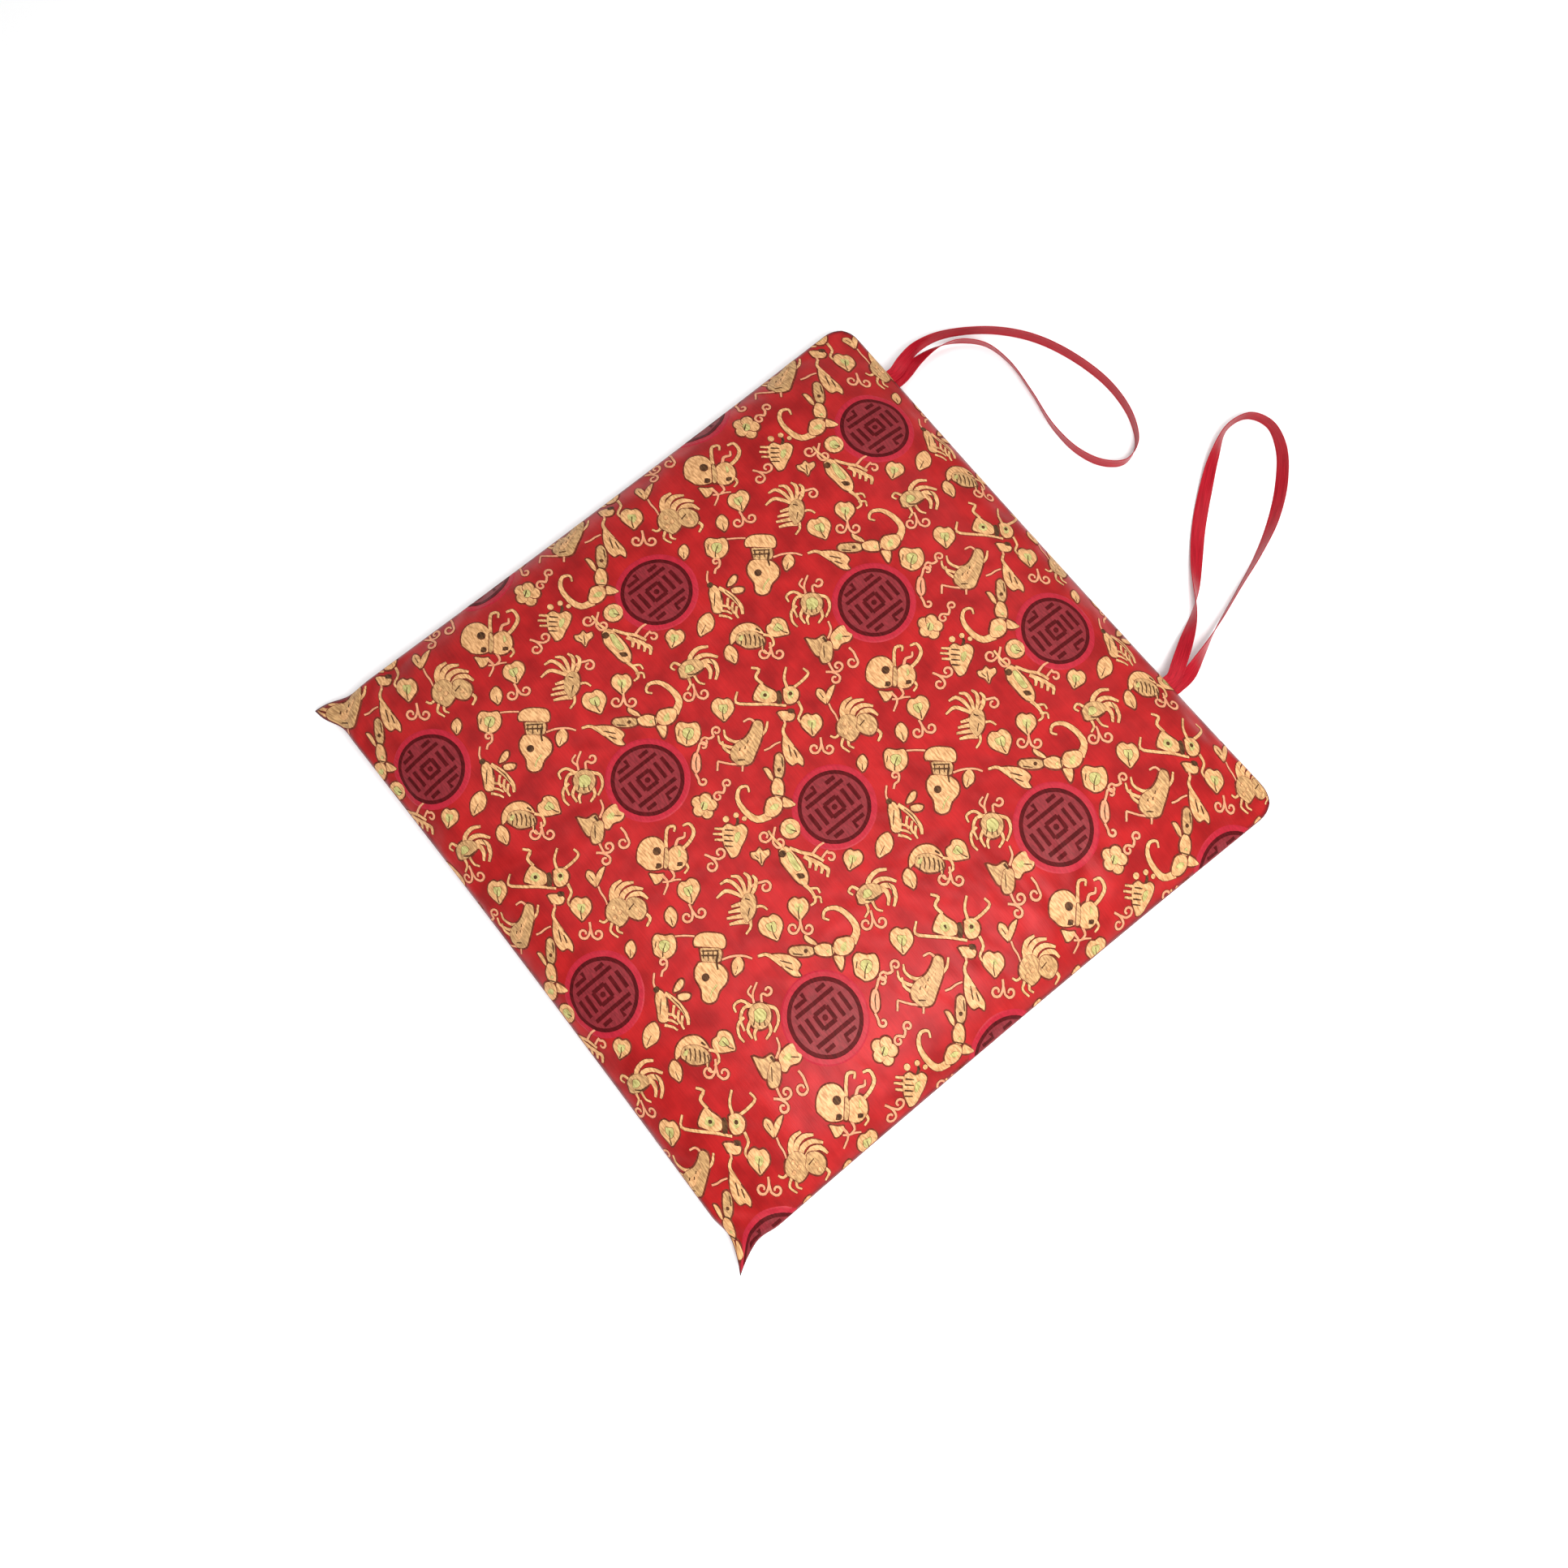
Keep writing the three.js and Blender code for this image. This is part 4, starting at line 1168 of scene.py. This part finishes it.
# %% Weave the patches
def spread_out(outline):
    """The outline moved outwards by SPREAD, unless it is a small mark"""
    x, y = outline.T
    area = np.sum(x * np.roll(y, -1) - y * np.roll(x, -1)) / 2
    if abs(area) < DETAIL_AREA:
        return outline
    along = unit(np.roll(outline, -1, axis=0) - np.roll(outline, 1, axis=0))
    return outline + np.column_stack([along[:, 1], -along[:, 0]]) * math.copysign(SPREAD, area)


@contextmanager
def chosen_faces(piece, chosen):
    """Edit Mode for the indented lines, with only the chosen faces selected"""
    with edit_mode():
        bpy.ops.mesh.select_mode(type="FACE")
        bpy.ops.mesh.select_all(action="DESELECT")
    piece.data.polygons.foreach_set("select", chosen)
    bpy.ops.object.mode_set(mode="EDIT")
    yield
    bpy.ops.object.mode_set(mode="OBJECT")


def mark_of(corner, starts):
    """The patch that the point with this number belongs to"""
    return patches[np.searchsorted(starts, corner, side="right")]


def weave_patches(name, tones):
    deselect_all()
    bpy.ops.mesh.primitive_circle_add(vertices=len(patches[0]["outline"]), fill_type="NGON")
    woven = name_active(name)
    with edit_mode():
        for mark in patches[1:]:
            bpy.ops.mesh.primitive_circle_add(vertices=len(mark["outline"]), fill_type="NGON")
    points = []
    for mark in patches:
        height = np.full(len(mark["outline"]), mark["layer"] * LAYER_STEP)
        points.append(np.column_stack([spread_out(mark["outline"] * MM), height]))
    woven.data.vertices.foreach_set("co", (np.vstack(points) - [0, 0, SINK]).ravel())
    give_tones(woven, tones)
    starts = np.cumsum([len(mark["outline"]) for mark in patches])
    for face in woven.data.polygons:
        face.material_index = tones.index(mark_of(face.vertices[0], starts)["tone"])
    woven.data.update()
    with chosen_faces(woven, [face.normal.z < 0 for face in woven.data.polygons]):
        bpy.ops.mesh.flip_normals()
    is_detail = [face.area < DETAIL_AREA for face in woven.data.polygons]
    for chosen, rim in ((is_detail, DETAIL_RIM), ([not small for small in is_detail], RIM)):
        rims_so_far = len(woven.data.polygons) - len(patches)
        with chosen_faces(woven, chosen + [False] * rims_so_far):
            bpy.ops.mesh.inset(thickness=rim, depth=RELIEF, use_individual=True)
    for face in woven.data.polygons[len(patches):]:
        if mark_of(min(face.vertices), starts)["tone"] != "halo":
            face.material_index = EDGE
    return woven


figures = weave_patches("woven_figures", FIGURE_TONES)
print("patches in relief:", len(figures.data.polygons), "faces")

# %% [markdown]
# Each stroke starts as a grid primitive, three faces wide, bent along its line. The middle faces
# are the yarn and the two outer ones its slopes. The ends taper with the widths of the chart.

# %% Weave the strokes
def weave_strokes(name, tones):
    deselect_all()
    steps = [len(mark["centre"]) - 1 for mark in strokes]
    bpy.ops.mesh.primitive_grid_add(x_subdivisions=steps[0], y_subdivisions=ACROSS_STROKE)
    woven = name_active(name)
    with edit_mode():
        for count in steps[1:]:
            bpy.ops.mesh.primitive_grid_add(x_subdivisions=count, y_subdivisions=ACROSS_STROKE)
    points, yarns = [], []
    for mark in strokes:
        centre = mark["centre"] * MM
        along = unit(np.gradient(centre, axis=0))
        left = np.column_stack([-along[:, 1], along[:, 0]])
        gold = mark["width"][:, None] * MM * STROKE_HALF
        half = gold + (0 if mark["tone"] == "dark" else RIM * STROKE_HALF)
        low = np.full((len(centre), 1), mark["layer"] * LAYER_STEP - SINK)
        for offset, height in ((-half, low), (-gold, low + RELIEF), (gold, low + RELIEF), (half, low)):
            points.append(np.hstack([centre + left * offset, height]))
        for yarn in (EDGE, tones.index(mark["tone"]), EDGE, EDGE):
            yarns += [yarn] * len(centre)
    woven.data.vertices.foreach_set("co", np.vstack(points).ravel())
    give_tones(woven, tones)
    for face in woven.data.polygons:
        face.material_index = yarns[min(face.vertices)]
    woven.data.update()
    return woven


scrolls = weave_strokes("woven_scrolls", FIGURE_TONES)
print("one repeat in relief:", len(figures.data.polygons) + len(scrolls.data.polygons), "faces")

# %% [markdown]
# The relief must follow a curved pad, and a flat face can't bend. So it is first cut along the
# lines of the pad's own fine grid, by bisecting, and each small piece is as fine as that grid.

# %% Cut the relief on the pad's grid
def bisect_at(axis, place, side=1, clear=False):
    """Cuts everything across one axis, and can clear what lies outside the cut"""
    middle, normal = [0, 0, 0], [0, 0, 0]
    middle[axis], normal[axis] = place, side
    bpy.ops.mesh.select_all(action="SELECT")
    bpy.ops.mesh.bisect(plane_co=middle, plane_no=normal, clear_outer=clear)


def cut_on_grid(piece):
    select_only(piece)
    points = read_all(piece.data.vertices, "co", 3)
    with edit_mode():
        for axis in (0, 1):
            first = math.ceil(points[:, axis].min() / FINE)
            last = math.floor(points[:, axis].max() / FINE)
            for k in range(first, last + 1):
                bisect_at(axis, k * FINE)


for piece in (figures, scrolls):
    cut_on_grid(piece)
    print(piece.name, "has", len(piece.data.polygons), "faces after the cuts")

# %% [markdown]
# The repeat is copied over the cloth with two Array modifiers. On a real cushion the weave is never
# quite square with the seams, so the rows get a slight slope and bow. At the two sides some cloth
# is rolled under the edge. What passes the seam is then cut off.

# %% Repeat the weave over the cloth
SEAM_MARGIN = 1.1 * MM
REPEAT_ACROSS = (166 * MM, -2 * MM)
REPEAT_UP = (0, 168 * MM)
COPIES_ACROSS, COPIES_UP = 4, 3
START_ACROSS, START_UP = -2, -1     # where the first copy lies, in repeats
ROW_SLOPE = 0.0042
ROW_BOW = 0.176           # per metre: how far a row drops off to each side
SIDE_ROLLS = [  # side, where it starts, cloth rolled under
    (1, 100 * MM, 9 * MM), (-1, 150 * MM, 18 * MM),
]
ROLL_POWER = 1.5


def repeat_over_cloth(piece):
    """Copies one repeat from the left front corner over the cloth, and trims it at the seam"""
    select_only(piece)
    start_x, start_y = (START_ACROSS * a + START_UP * u for a, u in zip(REPEAT_ACROSS, REPEAT_UP))
    with edit_mode():
        bpy.ops.transform.translate(value=(start_x, start_y, 0))
    for step, count in ((REPEAT_ACROSS, COPIES_ACROSS), (REPEAT_UP, COPIES_UP)):
        rows = piece.modifiers.new("rows", "ARRAY")
        rows.count = count
        rows.use_relative_offset = False
        rows.use_constant_offset = True
        rows.constant_offset_displace = (*step, 0)
        bpy.ops.object.modifier_apply(modifier="rows")
    points = read_all(piece.data.vertices, "co", 3)
    points[:, 1] -= ROW_BOW * points[:, 0] ** 2 + ROW_SLOPE * points[:, 0]
    for side, start, rolled_under in SIDE_ROLLS:
        on_roll = share((side * points[:, 0] - start) / (FLAT_HALF - start))
        points[:, 0] += side * rolled_under * on_roll**ROLL_POWER
    piece.data.vertices.foreach_set("co", points.ravel())
    with edit_mode():
        for axis in (0, 1):
            for side in (-1, 1):
                bisect_at(axis, side * (FLAT_HALF - SEAM_MARGIN), side, clear=True)


for piece in (figures, scrolls):
    repeat_over_cloth(piece)
    print(piece.name, "has", len(piece.data.polygons), "faces over the whole cloth")

# %% [markdown]
# The flat weave is now bent onto the pad. Its flat place becomes its map first, so that the finish
# of every thread still knows the cloth's own directions. The weave rides on the pad.

# %% Lay the weave on the pad
SMOOTH_BELOW = math.radians(25)


def lay_piece(piece):
    """Maps a flat piece for the bake, then bends it onto the pad"""
    mesh = piece.data
    flat = read_all(mesh.vertices, "co", 3)
    while mesh.uv_layers:
        mesh.uv_layers.remove(mesh.uv_layers[0])
    corner_point = read_all(mesh.loops, "vertex_index", kind=int)
    bake_map = mesh.uv_layers.new(name="OFBake")
    bake_map.data.foreach_set("uv", (flat[corner_point, :2] / (2 * FLAT_HALF) + 0.5).ravel())
    mesh.vertices.foreach_set("co", lay_on_face(flat[:, :2], flat[:, 2]).ravel())
    mesh.update()
    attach(piece, "root")
    triangles = sum(len(face.vertices) - 2 for face in mesh.polygons)
    print(piece.name, "has", triangles, "triangles")


for piece in (figures, scrolls):
    lay_piece(piece)
    select_only(piece)
    bpy.ops.object.shade_smooth_by_angle(angle=SMOOTH_BELOW)

# %% [markdown]
# The roundels are woven in maroon. Each has a plain fret inside a ring: bars and right angles in
# a darker thread, squared up with the sides of the pad. They use the same marks and the same way.

# %% Weave the roundels
ROUNDEL_RADIUS = 21
ROUNDELS = [(40.6, -3.7), (-38.8, -77.1)]
HALO = 3.2
BAR = 2.6
RING = 2.4
RING_RADIUS = 0.95 * ROUNDEL_RADIUS
ROUND_CORNERS = 48
patches.clear()
strokes.clear()


def bars(at, points, width=BAR):
    stroke(at, points, (width, width), 2, "bar", 1)


def roundel(at):
    disc(at, 0, 0, ROUNDEL_RADIUS + HALO, 0, "halo", ROUND_CORNERS)
    disc(at, 0, 0, ROUNDEL_RADIUS, 1, "maroon", ROUND_CORNERS)
    angles = [2 * math.pi * k / ROUND_CORNERS for k in range(ROUND_CORNERS + 1)]
    bars(at, [(RING_RADIUS * math.cos(angle), RING_RADIUS * math.sin(angle)) for angle in angles], RING)
    for side in (-1, 1):
        bars(at, [(side * 9.3, -13.2), (side * 9.3, 13.2)])
        bars(at, [(-5.6, side * 9.2), (5.6, side * 9.2)])
        bars(at, [(-5.6, side * 14.2), (0, side * 14.2), (5.6, side * 14.2)])
        bars(at, [(side * 13.6, side * 10.6), (side * 13.6, side * 3.2), (side * 17.4, side * 3.2)])
        bars(at, [(side * 13.6, -side * 10.6), (side * 13.6, -side * 4.4)])
        bars(at, [(side * 4.3, -4.3), (side * 4.3, 4.3)])
        bars(at, [(-4.3, side * 4.3), (4.3, side * 4.3)])
        disc(at, 0, 0, 2.0, 2, "bar", 8)


for x, y in ROUNDELS:
    roundel((x, y, -UPRIGHT, 1, False))
roundels = weave_patches("roundels", ROUNDEL_TONES)
roundel_frets = weave_strokes("roundel_frets", ROUNDEL_TONES)
select_only(roundels)
roundel_frets.select_set(True)
bpy.ops.object.join()
cut_on_grid(roundels)
repeat_over_cloth(roundels)
lay_piece(roundels)

# %% [markdown]
# The finishes are small networks of shader nodes. Each reads the piece's own flat map, so a thread
# runs the way the cloth was woven and not the way the picture happens to look at it. A helper adds
# a node and sets its inputs, and another gives a noise stretched along one direction, which is how
# uneven threads look.

# %% Helpers for the finishes
DETAIL = 2.0
FINE_DETAIL = 3.0


def add_node(material, kind, **values):
    node = material.node_tree.nodes.new(kind)
    for name, value in values.items():
        node.inputs[name.replace("_", " ")].default_value = value
    return node


def link(material, source, target):
    material.node_tree.links.new(source, target)


def streaks(material, map_name, per_unit, detail=DETAIL):
    """A noise on a map, stretched by how many streaks there are to its unit each way"""
    place = material.node_tree.nodes.new("ShaderNodeUVMap")
    place.uv_map = map_name
    scaled = add_node(material, "ShaderNodeMapping", Scale=(*per_unit, 1))
    noise = add_node(material, "ShaderNodeTexNoise", Scale=1.0, Detail=detail)
    noise.noise_dimensions = "2D"
    link(material, place.outputs["UV"], scaled.inputs["Vector"])
    link(material, scaled.outputs["Vector"], noise.inputs["Vector"])
    return noise.outputs["Fac"]


def shades(material, fac, low, high, spread=0.2):
    """A colour between two shades, led by a noise around 0.5"""
    ramp = material.node_tree.nodes.new("ShaderNodeValToRGB")
    for stop, place, colour in zip(ramp.color_ramp.elements, (0.5 - spread, 0.5 + spread), (low, high)):
        stop.position = place
        stop.color = (*colour, 1)
    link(material, fac, ramp.inputs["Fac"])
    return ramp.outputs["Color"]


def run_threads(material, map_name, shader):
    """Lets the shine follow the threads along a map's u"""
    tangent = material.node_tree.nodes.new("ShaderNodeTangent")
    tangent.direction_type = "UV_MAP"
    tangent.uv_map = map_name
    link(material, tangent.outputs["Tangent"], shader.inputs["Tangent"])


def mix_colours(material, blend="MIX"):
    mix = material.node_tree.nodes.new("ShaderNodeMix")
    mix.data_type = "RGBA"
    mix.blend_type = blend
    return mix


def raise_by(material, fac, distance, shader):
    bump = add_node(material, "ShaderNodeBump", Strength=1.0, Distance=distance)
    link(material, fac, bump.inputs["Height"])
    link(material, bump.outputs["Normal"], shader.inputs["Normal"])

# %% [markdown]
# The ground is satin: its warp threads float over several wefts, so they lie side by side and
# shine across their length more than along it. That is anisotropy, and its tangent comes from the
# flat map. Silk-look yarn is a little uneven, hence two shades and long slubs. The cloth is tinted
# all through, so its shine is tinted too. Along the seam a thin dark line is painted in, as shade where the
# seam draws the cloth in.

# %% Satin ground
RED_DEEP = (0.235, 0.005, 0.005)
RED_LIGHT = (0.37, 0.010, 0.010)
SHINE_TINT = (1.0, 0.30, 0.32, 1)
# painted shade along the seam
SEAM_PAINTED_SHADE = (0.07, 0.002, 0.004, 1)
SLUB_SHADE = (0.86, 0.84, 0.84)
WHITE = (1.0, 1.0, 1.0)
CLOUDS = (55, 55)          # streaks to a metre of cloth, along and across its threads
SLUBS = (60, 1100)
THREADS = (160, 1500)
THREAD_HEIGHT = 0.05 * MM

satin = bpy.data.materials.new("red_satin")
satin_shader = start_finish(satin, Roughness=0.42, Anisotropic=0.55, Specular_IOR_Level=0.42,
                            Specular_Tint=SHINE_TINT, Sheen_Weight=0.12, Sheen_Roughness=0.45,
                            Sheen_Tint=(1.0, 0.35, 0.35, 1))
run_threads(satin, "cloth", satin_shader)
cloudy = shades(satin, streaks(satin, "cloth", CLOUDS), RED_DEEP, RED_LIGHT)
slubs = shades(satin, streaks(satin, "cloth", SLUBS), SLUB_SHADE, WHITE)
tint = mix_colours(satin, "MULTIPLY")
tint.inputs["Factor"].default_value = 1.0
link(satin, cloudy, tint.inputs["A"])
link(satin, slubs, tint.inputs["B"])
# Painted shade: the satin's colour is darkened along the seam's points.
seam_shade_mask = satin.node_tree.nodes.new("ShaderNodeAttribute")
seam_shade_mask.attribute_name = "painted_seam_shade"
paint_seam_shade = mix_colours(satin)
paint_seam_shade.inputs["B"].default_value = SEAM_PAINTED_SHADE
link(satin, seam_shade_mask.outputs["Fac"], paint_seam_shade.inputs["Factor"])
link(satin, tint.outputs["Result"], paint_seam_shade.inputs["A"])
link(satin, paint_seam_shade.outputs["Result"], satin_shader.inputs["Base Color"])
raise_by(satin, streaks(satin, "cloth", THREADS, FINE_DETAIL), THREAD_HEIGHT, satin_shader)
cover.data.materials.clear()
cover.data.materials.append(satin)
print("ground:", len(satin.node_tree.nodes), "nodes")

# %% [markdown]
# The figures are woven with a thicker, softer weft that crosses the warp, so its threads run the
# other way. Gold, olive and green yarns lie in the same figure and mix where they cross, which the
# wide streaks of two shades give. The sloping rim is where the thread dives under the red, and its
# dark colour is partly a woven outline and partly painted shade.

# %% Figure threads
YARN_TINT = (1, 0.7, 0.6, 1)
YARN_HEIGHT = 0.02 * MM
YARN_MIX = (90, 400)       # streaks to the whole width of cloth
YARN_FLOATS = (900, 260)
YARNS = {  # deep shade, light shade, specular level
    "gold": ((0.36, 0.175, 0.065), (0.70, 0.39, 0.175), 0.4),
    "shade": ((0.25, 0.13, 0.05), (0.56, 0.33, 0.14), 0.4),
    "tan": ((0.50, 0.19, 0.095), (0.64, 0.29, 0.16), 0.3),
    "green": ((0.26, 0.23, 0.07), (0.50, 0.45, 0.17), 0.3),
    "dark": ((0.030, 0.012, 0.006), (0.10, 0.045, 0.018), 0.1),
    # the edge yarn: partly a woven outline, partly painted shade at the relief's step
    "edge": ((0.075, 0.012, 0.007), (0.16, 0.03, 0.016), 0.1),
    "halo": ((0.29, 0.006, 0.018), (0.38, 0.009, 0.026), 0.3),
    "maroon": ((0.13, 0.008, 0.013), (0.21, 0.014, 0.022), 0.3),
    "bar": ((0.045, 0.002, 0.003), (0.085, 0.004, 0.006), 0.1),
}
for tone, (deep, light, gloss) in YARNS.items():
    yarn = threads[tone]
    yarn_shader = start_finish(yarn, Roughness=0.5, Specular_IOR_Level=gloss, Specular_Tint=YARN_TINT)
    mixed = shades(yarn, streaks(yarn, "OFBake", YARN_MIX), deep, light)
    link(yarn, mixed, yarn_shader.inputs["Base Color"])
    raise_by(yarn, streaks(yarn, "OFBake", YARN_FLOATS, FINE_DETAIL), YARN_HEIGHT, yarn_shader)
print("yarns:", ", ".join(YARNS))

# %% [markdown]
# The ribbon is a closer satin than the cover. Its face shines across the warp, and its two woven
# edges are thicker. The map runs once around the ribbon in v, so fine streaks along u
# are its warp threads.

# %% Ribbon satin
RIBBON_DEEP = (0.24, 0.004, 0.010)
RIBBON_LIGHT = (0.38, 0.008, 0.018)
RIBBON_THREAD_HEIGHT = 0.04 * MM
RIBBON_CLOUDS = (30, 60)   # streaks to the ribbon's length, and once around it
RIBBON_RIBS = (500, 12)

ribbon_satin = bpy.data.materials.new("ribbon_satin")
ribbon_shader = start_finish(ribbon_satin, Roughness=0.38, Anisotropic=0.6, Specular_IOR_Level=0.22,
                             Specular_Tint=(1.0, 0.45, 0.47, 1))
run_threads(ribbon_satin, "OFBake", ribbon_shader)
ribbon_clouds = streaks(ribbon_satin, "OFBake", RIBBON_CLOUDS)
ribbon_colour = shades(ribbon_satin, ribbon_clouds, RIBBON_DEEP, RIBBON_LIGHT)
link(ribbon_satin, ribbon_colour, ribbon_shader.inputs["Base Color"])
raise_by(ribbon_satin, streaks(ribbon_satin, "OFBake", RIBBON_RIBS), RIBBON_THREAD_HEIGHT, ribbon_shader)
for ribbon in (ribbon_left, ribbon_right):
    ribbon.data.materials.append(ribbon_satin)
print("ribbon:", len(ribbon_satin.node_tree.nodes), "nodes")

# %% [markdown]
# The cover also gets a map named OFBake, which lies between 0 and 1 with no overlap.
# The face goes in the left half and the underside in the right.

# %% The cover's map
cloth_corners = read_all(cover.data.uv_layers["cloth"].data, "uv", 2)
on_face = cloth_corners[:, 0] < FACE_END
from_left = cloth_corners[:, 0] + FLAT_HALF - np.where(on_face, 0, UNDER_OFFSET)
half_map = np.column_stack([from_left / (4 * FLAT_HALF) + np.where(on_face, 0, 0.5),
                            cloth_corners[:, 1] / (2 * FLAT_HALF) + 0.5])
cover_map = cover.data.uv_layers.new(name="OFBake")
cover_map.data.foreach_set("uv", half_map.ravel())
print("map from", half_map.min(axis=0).round(3), "to", half_map.max(axis=0).round(3))
